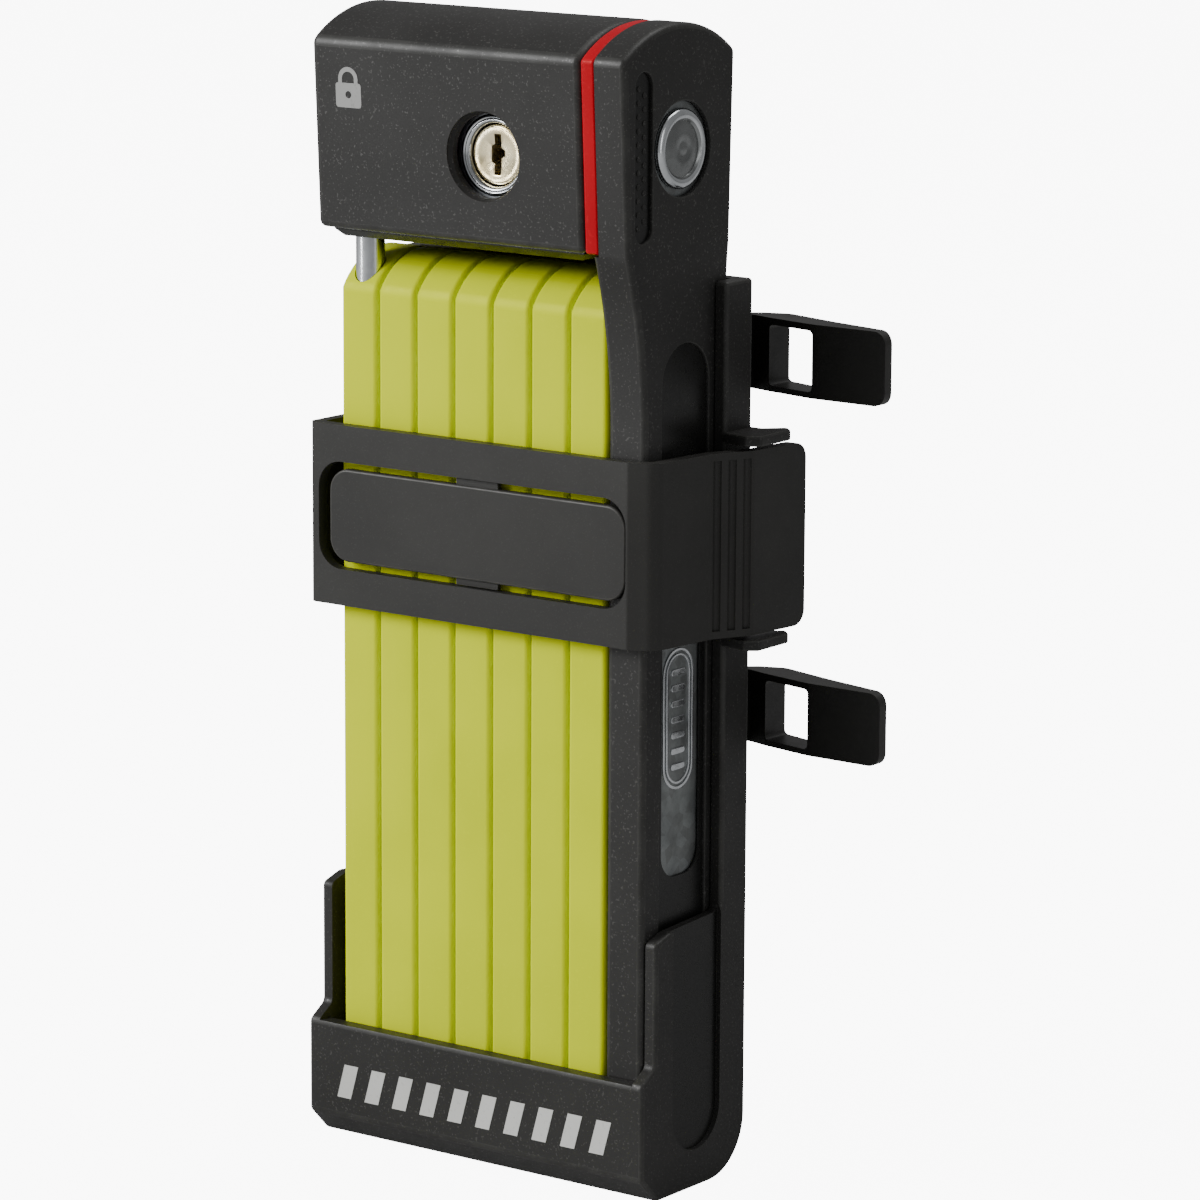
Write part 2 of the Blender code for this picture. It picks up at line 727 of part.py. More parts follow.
def build_case(mat):
    """Steel block with bores for the cylinder, the pin and the bolt."""
    gap = BODY_WALL + CLOSE_FIT
    low = BODY_Z + 0.2 + BASE_PLATE_THICK + CLOSE_FIT
    high = BODY_TOP - BODY_WALL - CLOSE_FIT
    rear = REAR_LOW - gap
    end_gap = BODY_END_WALL + CLOSE_FIT
    case = box("case", (BODY_X0 + end_gap, -FRONT_LOW + gap, low),
               (BODY_X1 - end_gap, rear, high))
    case = soften(case, CASE_EDGE, 1)
    bolt = BOLT_SIZE / 2 + FIT
    far = 40.0
    bore = rod("bore", CYLINDER_RADIUS + CLOSE_FIT, (KEY_X, 0, KEY_Z),
               -far, PLUG_REAR + CLOSE_FIT / 2, "Y", 40)
    cam = rod("cam", CAM_RADIUS + FIT, (KEY_X, 0, KEY_Z), 0, YOKE_Y0, "Y")
    pin = rod("pin", PIN_RADIUS + FIT, (PIN_X, PIN_Y, 0), BODY_Z,
              BODY_Z + PIN_REACH + FIT, "Z")
    slide = box("slide", (PIN_X, PIN_Y - bolt, KEY_Z - bolt),
                (bolt_end() + BOLT_TRAVEL + FIT, PIN_Y + bolt, KEY_Z + bolt))
    arm = box("arm", (bolt_end() - 3 - FIT, PIN_Y - bolt, KEY_Z - bolt),
              (bolt_end() + BOLT_TRAVEL + FIT, far, KEY_Z + bolt))
    yoke = box("yoke", (bolt_end() - 3 - FIT, YOKE_Y0 - FIT, KEY_Z - bolt),
               (yoke_end() + BOLT_TRAVEL + FIT, far, KEY_Z + CAM_RADIUS + 1.4))
    rivet = head_rivet_bore(HEAD_RIVET_RADIUS + CLOSE_FIT,
                            BODY_X1 - BODY_WALL - 7.0 - FIT, BODY_X1)
    case = cut(case, bore, cam, pin, slide, arm, yoke, rivet)
    return finish(case, "lock_case", mat)


def bolt_end():
    """X of the bolt's inner end at rest, clear of the cylinder when drawn."""
    return KEY_X - CYLINDER_RADIUS - FIT - BOLT_TRAVEL - 0.5


def yoke_end():
    return KEY_X + CRANK


def build_cylinder(mat):
    """Fixed cylinder with a flared rim around the key plug."""
    front = -PLUG_FRONT
    rear = -PLUG_REAR
    r = CYLINDER_RADIUS
    inner = PLUG_RADIUS + CLOSE_FIT
    profile = [(inner, front - 0.3), (inner + 0.4, front + 0.3), (r - 0.3, front + 0.3),
               (r, front), (r, rear), (inner, rear), (inner, front - 0.3)]
    body = lathe("cylinder", profile, (KEY_X, 0, KEY_Z), "Y", 40)
    return finish(body, "lock_cylinder", mat)


def build_plug(mat):
    front = -PLUG_FRONT
    rear = -PLUG_REAR
    r = PLUG_RADIUS
    profile = [(0, front - 0.5), (r - 0.7, front - 0.5), (r, front - 1.1),
               (r, rear), (0, rear)]
    plug = lathe("plug", profile, (KEY_X, 0, KEY_Z), "Y", 40)
    half = KEYWAY_WIDTH / 2
    low = KEY_Z - KEYWAY_HEIGHT / 2
    deep = PLUG_REAR - 4
    keyway = box("keyway", (KEY_X - half, -40, low),
                 (KEY_X + half, deep, low + KEYWAY_HEIGHT))
    ward = box("ward", (KEY_X - half - 0.6, -40, KEY_Z - 1.0),
               (KEY_X + half - 0.3, deep, KEY_Z + 0.4))
    plug = cut(plug, keyway, ward)
    return finish(plug, "key_plug", mat, (KEY_X, PLUG_FRONT, KEY_Z))


def build_cam(mat):
    """Disc behind the plug with the drive pin that moves the bolt."""
    cam = rod("cam", CAM_RADIUS, (KEY_X, 0, KEY_Z), CAM_Y0, CAM_Y1, "Y")
    shift = CRANK / math.sqrt(2)
    pin = rod("drive", DRIVE_PIN_RADIUS, (KEY_X - shift, 0, KEY_Z + shift),
              CAM_Y1 - 0.5, CAM_Y1 + DRIVE_PIN_LENGTH, "Y", 16)
    cam = join(cam, pin)
    return finish(cam, "plug_cam", mat, (KEY_X, PLUG_FRONT, KEY_Z))


def build_bolt(mat):
    """Sliding bolt: nose in the pin's neck, yoke around the drive pin."""
    half = BOLT_SIZE / 2
    nose = PIN_X + PIN_NECK_RADIUS + FIT
    end = bolt_end()
    bolt = box("bolt", (nose, PIN_Y - half, KEY_Z - half),
               (end, PIN_Y + half, KEY_Z + half))
    arm = box("arm", (end - 3, PIN_Y, KEY_Z - half),
              (end, YOKE_Y1, KEY_Z + half))
    plate = box("plate", (end - 1, YOKE_Y0, KEY_Z - half),
                (yoke_end(), YOKE_Y1, KEY_Z + CAM_RADIUS + 0.6))
    bolt = join(bolt, arm, plate)
    shift = CRANK / math.sqrt(2)
    room = DRIVE_PIN_RADIUS + FIT
    slot = box("slot", (KEY_X - shift - room, YOKE_Y0 - 1, KEY_Z + shift - room),
               (KEY_X - shift + room, YOKE_Y1 + 1, KEY_Z + CRANK + room))
    bolt = cut(bolt, slot)
    return finish(bolt, "locking_bolt", mat, (nose, PIN_Y, KEY_Z))


# --- holder -----------------------------------------------------------------

def holder_side():
    """Side view of the holder: cup, side walls, spine and rounded heel."""
    heel = arc((BACK_Y1 - HEEL_RADIUS, HEEL_RADIUS), HEEL_RADIUS, 270, 360)
    return ([(CUP_FRONT, CUP_HEIGHT), (CUP_FRONT, TOE_CHAMFER),
             (CUP_FRONT + TOE_CHAMFER, 0)] + heel
            + [(BACK_Y1, BACK_HEIGHT), (BACK_Y1 - FLANGE_DEPTH, BACK_HEIGHT),
               (BACK_Y1 - FLANGE_DEPTH, SIDE_HEIGHT + 0.8),
               (-SIDE_FRONT + 4.0, SIDE_HEIGHT), (-SIDE_FRONT, SIDE_HEIGHT - 1.2),
               (-SIDE_FRONT, CUP_HEIGHT + 2.4),
               (CUP_FRONT + 0.8, CUP_HEIGHT + 0.6)])


def ledge(low):
    """Shelf on the right flange that keeps the strap tab in its place."""
    x0 = CUP_HALF - 1.0
    x1 = CUP_HALF + LEDGE_REACH
    y0 = BACK_Y1 - FLANGE_DEPTH - 1.0
    y1 = BACK_Y1 + 3.0
    outline = [(x0, y0 + 1.0), (x1 - 2.0, y0), (x1, y0 + 1.6),
               (x1, y1 - 1.6), (x1 - 1.6, y1), (x0 + 3.0, BACK_Y1), (x0, BACK_Y1)]
    return prism("ledge", outline, low, low + LEDGE_THICK, "Z")


def screw_places():
    return [SADDLE_LOWER + SADDLE_HEIGHT / 2, SADDLE_UPPER + SADDLE_HEIGHT / 2]


def boss(height):
    half = BOSS_HEIGHT / 2
    return box("boss", (-BOSS_WIDTH / 2, BACK_Y1 - 1, height - half),
               (BOSS_WIDTH / 2, BACK_Y1 + BOSS_LENGTH, height + half))


def build_holder(mat):
    holder = prism("holder", holder_side(), -CUP_HALF, CUP_HALF, "X")
    holder = soften(holder, 0.6)
    inner = CUP_HALF - HOLDER_WALL
    front = CUP_FRONT + CUP_FRONT_WALL
    room = [(front, FLOOR + 5.4), (front + 4.6, FLOOR), (BACK_Y0 - 4.4, FLOOR),
            (BACK_Y0, FLOOR + 5.4), (BACK_Y0, BACK_HEIGHT + 10),
            (CUP_FRONT - 9, BACK_HEIGHT + 10), (CUP_FRONT - 9, CUP_HEIGHT),
            (front, CUP_HEIGHT)]
    holder = cut(holder, prism("room", room, -inner, inner, "X"))
    middle = (BACK_Y1 - FLANGE_DEPTH) - SIDE_PANEL_WIDTH / 2
    panel = slot_outline(middle, SIDE_PANEL_WIDTH, SIDE_PANEL_LOW,
                         SIDE_HEIGHT + 20)
    depth = CUP_HALF - SIDE_PANEL_DEPTH
    holder = cut(holder, prism("panel", panel, depth, CUP_HALF + 1, "X"),
                 prism("panel", panel, -CUP_HALF - 1, -depth, "X"))
    ledges = [ledge(STRAP_TOP + LEDGE_GAP),
              ledge(STRAP_LOW - LEDGE_GAP - LEDGE_THICK)]
    holder = join(holder, *ledges)
    for height in screw_places():
        holder = join(holder, boss(height))
        shank = rod("shank", SCREW_RADIUS + CLOSE_FIT, (0, 0, height),
                    0, BACK_Y1 + BOSS_LENGTH + 1, "Y", 20)
        head = rod("head", SCREW_HEAD_RADIUS + CLOSE_FIT, (0, 0, height),
                   0, BACK_Y0 + SCREW_HEAD_HEIGHT + CLOSE_FIT, "Y", 24)
        holder = cut(holder, shank, head)
    return finish(holder, "holder_frame", mat)


def saddle_outline():
    """Plan of a saddle: foot on the spine, two arms and two slotted lips."""
    reach = SADDLE_REACH
    slot = SADDLE_SLOT_IN
    tip = SADDLE_LIP - 3.5
    front = [(0, FIT), (SADDLE_BASE, FIT), (slot - 4.6, SADDLE_LIP),
             (slot, SADDLE_LIP - 1.3), (slot + SADDLE_SLOT_WIDTH, tip + 0.2),
             (reach, tip)]
    rear = [(reach, tip + 2.0), (slot + SADDLE_SLOT_WIDTH + 0.6, tip + 5.2),
            (slot, SADDLE_HORN), (slot - 4.2, SADDLE_HORN - 1.6),
            (SADDLE_BASE - 0.5, SADDLE_BED + 1.2), (0, SADDLE_BED)]
    right = fillet(front, [2.0, 1.6, 8.0, 12.0])[1:]
    back = fillet(rear, [12.0, 3.0, 3.0, 10.0])
    half = [(x, BACK_Y1 + y) for x, y in right + back]
    return half + [(-x, y) for x, y in reversed(half) if x > 0.01]


def build_saddle(name, low, mat):
    saddle = prism("saddle", saddle_outline(), low, low + SADDLE_HEIGHT, "Z")
    saddle = soften(saddle, 0.6, 1, 50)
    slot_low = low + SADDLE_SLOT_TOP
    for side in (-1, 1):
        x = sorted((side * SADDLE_SLOT_IN,
                    side * (SADDLE_SLOT_IN + SADDLE_SLOT_WIDTH)))
        saddle = cut(saddle, box("slot", (x[0], 0, slot_low),
                                 (x[1], 60, slot_low + SADDLE_SLOT_HEIGHT)))
    height = low + SADDLE_HEIGHT / 2
    half = BOSS_HEIGHT / 2 + CLOSE_FIT
    wide = BOSS_WIDTH / 2 + CLOSE_FIT
    deep = BACK_Y1 + BOSS_LENGTH + CLOSE_FIT
    pocket = box("pocket", (-wide, 0, height - half), (wide, deep, height + half))
    bore = rod("bore", SCREW_RADIUS + CLOSE_FIT, (0, 0, height), 0,
               BACK_Y0 + SCREW_LENGTH + FIT, "Y", 20)
    saddle = cut(saddle, pocket, bore)
    return finish(saddle, name, mat)


def build_screw(name, height, mat):
    """Screw that holds a saddle pad from inside the holder."""
    head = -BACK_Y0 - CLOSE_FIT
    base = head - SCREW_HEAD_HEIGHT + CLOSE_FIT
    tip = -BACK_Y0 - SCREW_LENGTH
    r = SCREW_HEAD_RADIUS
    profile = [(0, head - 0.8), (1.4, head - 0.8), (1.6, head), (r - 0.4, head),
               (r, head - 0.4), (r, base), (SCREW_RADIUS, base),
               (SCREW_RADIUS, tip + 0.6), (SCREW_RADIUS - 0.6, tip), (0, tip)]
    screw = lathe("screw", profile, (0, 0, height), "Y", 24)
    return finish(screw, name, mat)


# --- strap ------------------------------------------------------------------

def strap_line():
    """Outer plan line of the moving strap, from its hinge to its tab."""
    side = STRAP_SIDE_X
    y = STRAP_OUTER_Y + FACET_DROP
    points = [(HINGE_X, STRAP_OUTER_Y), (side - FACET_RUN, STRAP_OUTER_Y),
              (side, y)]
    points.append((side + ARM_SPREAD, y + ARM_RUN))
    points.append((side + ARM_SPREAD + RAMP_SPREAD, y + ARM_RUN + RAMP_RUN))
    points.append((side + ARM_SPREAD + RAMP_SPREAD + TAB_SPREAD,
                   y + ARM_RUN + RAMP_RUN + TAB_RUN))
    return points


def strap_plan():
    outer = strap_line()
    rounded = [outer[0]] + fillet(outer[1:], 3.0)
    inner = offset(rounded, STRAP_THICK)
    knuckle = arc((HINGE_X, HINGE_Y), STRAP_THICK / 2, 90, 270, 6)
    return knuckle[1:-1] + rounded + inner[::-1]


def grip_cutters():
    """Three upright grooves along the ramp of the strap."""
    start = Vector(strap_line()[3])
    end = Vector(strap_line()[4])
    tools = []
    for share in (0.12, 0.5, 0.88):
        spot = start.lerp(end, share)
        tools.append(rod("grip", GRIP_RADIUS, (spot.x + 0.2, spot.y - 0.1, 0),
                         STRAP_LOW + GRIP_MARGIN, STRAP_TOP - GRIP_MARGIN,
                         "Z", 12))
    return tools


def window_size():
    left = STRAP_LEFT + STRAP_POST
    right = STRAP_SIDE_X - FACET_RUN - 0.3
    return left, right, STRAP_LOW + STRAP_RAIL, STRAP_TOP - STRAP_RAIL


def build_strap(mat):
    strap = prism("strap", strap_plan(), STRAP_LOW, STRAP_TOP, "Z")
    left, right, low, high = window_size()
    outline = rounded_rect(left, right, low, high, WINDOW_RADIUS)
    window = prism("window", outline, STRAP_OUTER_Y - 5, STRAP_INNER_Y + 3, "Y")
    tab = strap_line()[-1]
    corners = []
    for height, turn in ((STRAP_LOW, 1), (STRAP_TOP, -1)):
        bite = 2.6
        middle = (tab[1] - bite, height + turn * bite)
        around = arc(middle, bite, 0, -90 * turn, 5)
        corner = [(tab[1] + 4, height + turn * bite)] + around
        corner += [(tab[1] - bite, height - turn * 2), (tab[1] + 4, height - turn * 2)]
        corners.append(prism("corner", corner, STRAP_SIDE_X, tab[0] + 6, "X"))
    strap = cut(strap, window, *corners, *grip_cutters())
    return finish(strap, "strap_band", mat, (HINGE_X, HINGE_Y, STRAP_LOW))


def build_strap_pad(mat):
    """Centre pad that hangs between the rails on two short bridges."""
    left, right, low, high = window_size()
    face = STRAP_OUTER_Y + 0.3
    outline = rounded_rect(left + PAD_GAP_SIDE, right - CLOSE_FIT * 2,
                           low + PAD_GAP_RAIL, high - PAD_GAP_RAIL, PAD_RADIUS)
    pad = prism("pad", outline, face, face + PAD_THICK, "Y")
    pad = soften(pad, 0.25, 2, 60)
    half = PAD_BRIDGE / 2
    bridge = box("bridge", (-half, face + 0.5, low + CLOSE_FIT),
                 (half, face + PAD_THICK - 0.2, high - CLOSE_FIT))
    pad = join(pad, bridge)
    return finish(pad, "strap_pad", mat, (HINGE_X, HINGE_Y, STRAP_LOW))


def build_strap_anchor(mat):
    """Left arm of the strap, seated against the left flange."""
    front = HINGE_Y + STRAP_THICK / 2 + FIT
    anchor = box("anchor", (STRAP_LEFT, front, STRAP_LOW),
                 (STRAP_LEFT + STRAP_THICK, BACK_Y1 - FLANGE_DEPTH - FIT,
                  STRAP_TOP))
    anchor = soften(anchor, 0.35, 1)
    return finish(anchor, "strap_anchor", mat)


# --- assembly ---------------------------------------------------------------

def main():
    clear_scene()
    lime = colour("sleeve_lime", (0.58, 0.64, 0.04), 0.45)
    steel = colour("zinc_steel", (0.55, 0.57, 0.58), 0.35, 1.0)
    brass = colour("brass", (0.75, 0.57, 0.25), 0.28, 1.0)
    black = colour("black_body", (0.025, 0.025, 0.026), 0.6)
    holder_black = colour("holder_plastic", (0.022, 0.022, 0.023), 0.55)
    rubber = colour("strap_elastomer", (0.03, 0.03, 0.031), 0.7)
    red = colour("trim_red", (0.55, 0.02, 0.015), 0.5)
    for index in range(BAR_COUNT):
        build_sleeve(index, lime)
        build_core(index, steel)
    for number, (left, right, height) in enumerate(rivet_ends(), 1):
        build_rivet(number, left, right, height, steel)
    build_pin(steel)
    build_link_cover(black)
    build_link_core(steel)
    build_head_rivet(steel)
    build_housing(black)
    build_trim(red)
    build_base_plate(steel)
    build_case(steel)
    build_cylinder(steel)
    build_plug(brass)
    build_cam(brass)
    build_bolt(steel)
    build_holder(holder_black)
    build_saddle("saddle_upper", SADDLE_UPPER, rubber)
    build_saddle("saddle_lower", SADDLE_LOWER, rubber)
    for name, height in zip(("saddle_screw_lower", "saddle_screw_upper"),
                            screw_places()):
        build_screw(name, height, steel)
    build_strap(rubber)
    build_strap_pad(rubber)
    build_strap_anchor(rubber)


main()
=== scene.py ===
"""Folding bike lock standing in its frame holder.

Finished pieces, finishes, studio and camera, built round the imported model.
Sizes below are in millimetres unless they say otherwise; +Z is up, X runs
across the stack of bars and -Y is the keyhole side.
"""
import math

import bmesh
import bpy
from mathutils import Matrix, Vector


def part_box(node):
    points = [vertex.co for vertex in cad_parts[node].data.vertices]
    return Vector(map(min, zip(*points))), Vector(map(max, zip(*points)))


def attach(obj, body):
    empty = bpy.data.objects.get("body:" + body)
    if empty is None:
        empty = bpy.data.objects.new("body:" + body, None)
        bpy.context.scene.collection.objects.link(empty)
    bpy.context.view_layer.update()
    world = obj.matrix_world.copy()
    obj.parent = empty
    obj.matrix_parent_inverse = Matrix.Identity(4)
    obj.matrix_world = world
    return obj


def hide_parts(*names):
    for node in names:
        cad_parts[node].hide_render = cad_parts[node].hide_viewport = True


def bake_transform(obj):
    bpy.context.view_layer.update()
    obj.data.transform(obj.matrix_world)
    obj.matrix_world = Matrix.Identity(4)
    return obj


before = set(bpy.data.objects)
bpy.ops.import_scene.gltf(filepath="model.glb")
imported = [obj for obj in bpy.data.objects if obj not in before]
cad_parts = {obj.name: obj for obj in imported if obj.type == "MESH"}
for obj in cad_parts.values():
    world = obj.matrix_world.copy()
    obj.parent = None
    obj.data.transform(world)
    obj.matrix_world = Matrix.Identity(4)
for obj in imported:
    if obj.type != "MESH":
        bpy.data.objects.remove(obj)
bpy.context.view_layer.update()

MM = 0.001
ROUND = 64            # segments of a full circle
ARC = 20              # segments of an arc
FIT = 0.30            # gap between neighbouring pieces
CLOSE_FIT = 0.15      # gap between a piece and the bore or pocket it fills


def span(node):
    """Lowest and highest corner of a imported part, in millimetres."""
    low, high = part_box(node)
    return [v / MM for v in low], [v / MM for v in high]


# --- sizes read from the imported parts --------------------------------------

(STACK_X, _, TIP_LOW), (BAR_1_RIGHT, HALF_DEPTH, TIP_HIGH) = span("bar_1_sleeve")
BAR_THICK = BAR_1_RIGHT - STACK_X
BAR_PITCH = span("bar_2_sleeve")[0][0] - STACK_X
BAR_COUNT = 7
CORE_LOW, CORE_HIGH = span("bar_1_core")
CORE_THICK = CORE_HIGH[0] - CORE_LOW[0]
CORE_INSET = 1.5
END_RADIUS = HALF_DEPTH + 2.0
BAR_EDGE = 0.9
PIVOT_LOW = TIP_LOW + 11.0
PIVOT_HIGH = TIP_HIGH - 11.0
RIVET_RADIUS = 3.4
RIVET_HEAD_RADIUS = 5.4
RIVET_HEAD_HEIGHT = 0.8

LINK_LOW, LINK_HIGH = span("link_cover")
LEG_X0, LINK_X1 = LINK_LOW[0], LINK_HIGH[0]
HEAD_X0 = LEG_X0 + 1.4
LINK_CORE_X0, LINK_CORE_X1 = (end[0] for end in span("link_core"))

BODY_LOW, BODY_HIGH = span("body_housing")
BODY_X0, BODY_X1, BODY_Z = BODY_LOW[0], BODY_HIGH[0], BODY_LOW[2]
DOME_HEIGHT = 5.2
BODY_TOP = BODY_HIGH[2] - DOME_HEIGHT
FRONT_LOW = HALF_DEPTH + 4.6
FRONT_TOP = HALF_DEPTH + 6.2
REAR_LOW = HALF_DEPTH + 1.1
REAR_TOP = HALF_DEPTH + 2.0
BODY_WALL = 2.2
BODY_END_WALL = 1.4
TRIM_X0, TRIM_X1 = (end[0] for end in span("body_trim"))
HEAD_RIVET_BACK = -1.3
HEAD_RIVET_Z = BODY_Z + 16.0
HEAD_RIVET_CAP = 6.4
HEAD_RIVET_RECESS = 7.6
HEAD_RIVET_RADIUS = 4.0

PIN_LOW, PIN_HIGH = span("locking_pin")
PIN_X = (PIN_LOW[0] + PIN_HIGH[0]) / 2
PIN_Y = (PIN_LOW[1] + PIN_HIGH[1]) / 2
PIN_RADIUS = (PIN_HIGH[0] - PIN_LOW[0]) / 2

CYL_LOW, CYL_HIGH = span("lock_cylinder")
KEY_X = (CYL_LOW[0] + CYL_HIGH[0]) / 2
KEY_Z = (CYL_LOW[2] + CYL_HIGH[2]) / 2
CYLINDER_RADIUS = (CYL_HIGH[0] - CYL_LOW[0]) / 2
PLUG_FRONT = CYL_LOW[1] + 0.3
PLUG_REAR = CYL_HIGH[1]
PLUG_RADIUS = 4.9

CUP_LOW, CUP_TOP = span("holder_frame")
CUP_HALF = -CUP_LOW[0]
CUP_FRONT = CUP_LOW[1]
BACK_Y0 = HALF_DEPTH + 0.9
BACK_Y1 = BACK_Y0 + 3.1
BACK_HEIGHT = CUP_TOP[2]

BAND_LOW, BAND_HIGH = span("strap_band")
ANCHOR_LOW, ANCHOR_HIGH = span("strap_anchor")
PAD_FACE = span("strap_pad")[0][1]
STRAP_LOW, STRAP_TOP = BAND_LOW[2], BAND_HIGH[2]
STRAP_THICK = 2.0


# --- mesh tools -------------------------------------------------------------

def add_mesh(name, data):
    obj = bpy.data.objects.new(name, data)
    bpy.context.scene.collection.objects.link(obj)
    return obj


def from_bmesh(name, bm):
    mesh = bpy.data.meshes.new(name)
    bm.to_mesh(mesh)
    bm.free()
    return add_mesh(name, mesh)


def bake(obj):
    """Replace an object by its evaluated mesh, welded."""
    graph = bpy.context.evaluated_depsgraph_get()
    graph.update()
    mesh = bpy.data.meshes.new_from_object(obj.evaluated_get(graph))
    bm = bmesh.new()
    bm.from_mesh(mesh)
    bmesh.ops.remove_doubles(bm, verts=bm.verts, dist=1e-6)
    bmesh.ops.dissolve_degenerate(bm, edges=bm.edges, dist=1e-7)
    bm.to_mesh(mesh)
    bm.free()
    name = obj.name
    bpy.data.objects.remove(obj, do_unlink=True)
    return add_mesh(name, mesh)


TURN = {
    "X": Matrix(((0, 0, 1, 0), (1, 0, 0, 0), (0, 1, 0, 0), (0, 0, 0, 1))),
    "Y": Matrix(((1, 0, 0, 0), (0, 0, -1, 0), (0, 1, 0, 0), (0, 0, 0, 1))),
    "Z": Matrix.Identity(4),
}
AXIS = {"X": Vector((1, 0, 0)), "Y": Vector((0, 1, 0)), "Z": Vector((0, 0, 1))}


def prism(name, outline, start, end, axis):
    """Extrude a closed flat outline along an axis from start to end."""
    bm = bmesh.new()
    half = abs(end - start) / 2 * MM
    low = [bm.verts.new((u * MM, v * MM, -half)) for u, v in outline]
    high = [bm.verts.new((u * MM, v * MM, half)) for u, v in outline]
    bm.faces.new(low[::-1])
    bm.faces.new(high)
    count = len(outline)
    for i in range(count):
        j = (i + 1) % count
        bm.faces.new((low[i], low[j], high[j], high[i]))
    place = Matrix.Translation(AXIS[axis] * (start + end) / 2 * MM)
    bmesh.ops.transform(bm, matrix=place @ TURN[axis], verts=bm.verts)
    bmesh.ops.remove_doubles(bm, verts=bm.verts, dist=1e-6)
    bmesh.ops.recalc_face_normals(bm, faces=bm.faces)
    return from_bmesh(name, bm)


def block(name, low, high):
    outline = [(low[0], low[1]), (high[0], low[1]),
               (high[0], high[1]), (low[0], high[1])]
    return prism(name, outline, low[2], high[2], "Z")


def lathe(name, profile, centre, axis, segments=ROUND):
    """Turn a closed (radius, height) outline about an axis through centre."""
    bm = bmesh.new()
    rings = []
    for radius, height in profile:
        if radius < 1e-6:
            rings.append([bm.verts.new((0, 0, height * MM))])
            continue
        rings.append([
            bm.verts.new((radius * MM * math.cos(2 * math.pi * i / segments),
                          radius * MM * math.sin(2 * math.pi * i / segments),
                          height * MM)) for i in range(segments)])
    pairs = list(zip(rings, rings[1:]))
    if len(rings[0]) > 1:
        pairs.append((rings[-1], rings[0]))
    for first, second in pairs:
        for i in range(segments):
            j = (i + 1) % segments
            corners = [first[i % len(first)], first[j % len(first)],
                       second[j % len(second)], second[i % len(second)]]
            corners = list(dict.fromkeys(corners))
            if len(corners) > 2:
                bm.faces.new(corners)
    place = Matrix.Translation(Vector(centre) * MM)
    bmesh.ops.transform(bm, matrix=place @ TURN[axis], verts=bm.verts)
    bmesh.ops.recalc_face_normals(bm, faces=bm.faces)
    return from_bmesh(name, bm)


def rod(name, radius, centre, start, end, axis, segments=ROUND):
    """A round bar along an axis; lathe heights on Y run backwards."""
    if axis == "Y":
        start, end = -end, -start
    profile = [(0, end), (radius, end), (radius, start), (0, start)]
    return lathe(name, profile, centre, axis, segments)


def combine(obj, tools, operation):
    for tool in tools:
        step = obj.modifiers.new("step", "BOOLEAN")
        step.operation = operation
        step.solver = "EXACT"
        step.object = tool
        obj = bake(obj)
        bpy.data.objects.remove(tool, do_unlink=True)
    return obj


def cut(obj, *tools):
    return combine(obj, tools, "DIFFERENCE")


def join(obj, *tools):
    return combine(obj, tools, "UNION")


def ease(obj, width, segments=3, angle=30.0, keep=None):
    """Round the sharp edges and mark the rounded strips for edge rubbing and a
    painted highlight.
    """
    bm = bmesh.new()
    bm.from_mesh(obj.data)
    bmesh.ops.remove_doubles(bm, verts=bm.verts, dist=2e-6)
    bmesh.ops.dissolve_limit(bm, angle_limit=math.radians(0.5),
                             verts=bm.verts, edges=bm.edges)
    strip = (bm.faces.layers.float.get("edge")
             or bm.faces.layers.float.new("edge"))
    sharp = [e for e in bm.edges if e.is_manifold
             and e.calc_face_angle() > math.radians(angle)
             and (keep is None or keep(e))]
    made = bmesh.ops.bevel(bm, geom=sharp, offset=width * MM,
                           offset_type="OFFSET", segments=segments,
                           profile=0.5, affect="EDGES", clamp_overlap=True)
    for face in made["faces"]:
        face[strip] = 1.0
    bm.to_mesh(obj.data)
    bm.free()
    return obj


def arc(centre, radius, first, last, steps=ARC):
    """Points on an arc, angles in degrees."""
    angles = [math.radians(first + (last - first) * i / steps)
              for i in range(steps + 1)]
    return [(centre[0] + radius * math.cos(a), centre[1] + radius * math.sin(a))
            for a in angles]


def bow(first, last, rise, steps=ARC):
    """Points from first to last on an arc that bulges to the left by rise."""
    a, b = Vector(first), Vector(last)
    half = (b - a).length / 2
    radius = (half * half + rise * rise) / (2 * rise)
    normal = Vector((-(b - a).y, (b - a).x)).normalized()
    centre = (a + b) / 2 + normal * (rise - radius)
    start = math.atan2(a.y - centre.y, a.x - centre.x)
    sweep = -2 * math.asin(half / radius)
    return [(centre.x + radius * math.cos(start + sweep * i / steps),
             centre.y + radius * math.sin(start + sweep * i / steps))
            for i in range(steps + 1)]


def rounded_rect(u0, u1, v0, v1, radius, steps=10):
    return (arc((u1 - radius, v1 - radius), radius, 0, 90, steps)
            + arc((u0 + radius, v1 - radius), radius, 90, 180, steps)
            + arc((u0 + radius, v0 + radius), radius, 180, 270, steps)
            + arc((u1 - radius, v0 + radius), radius, 270, 360, steps))


def slot_outline(middle, width, low, high, steps=16):
    """A slot with round ends in the YZ plane."""
    r = width / 2
    return (arc((middle, high - r), r, 0, 180, steps)
            + arc((middle, low + r), r, 180, 360, steps))


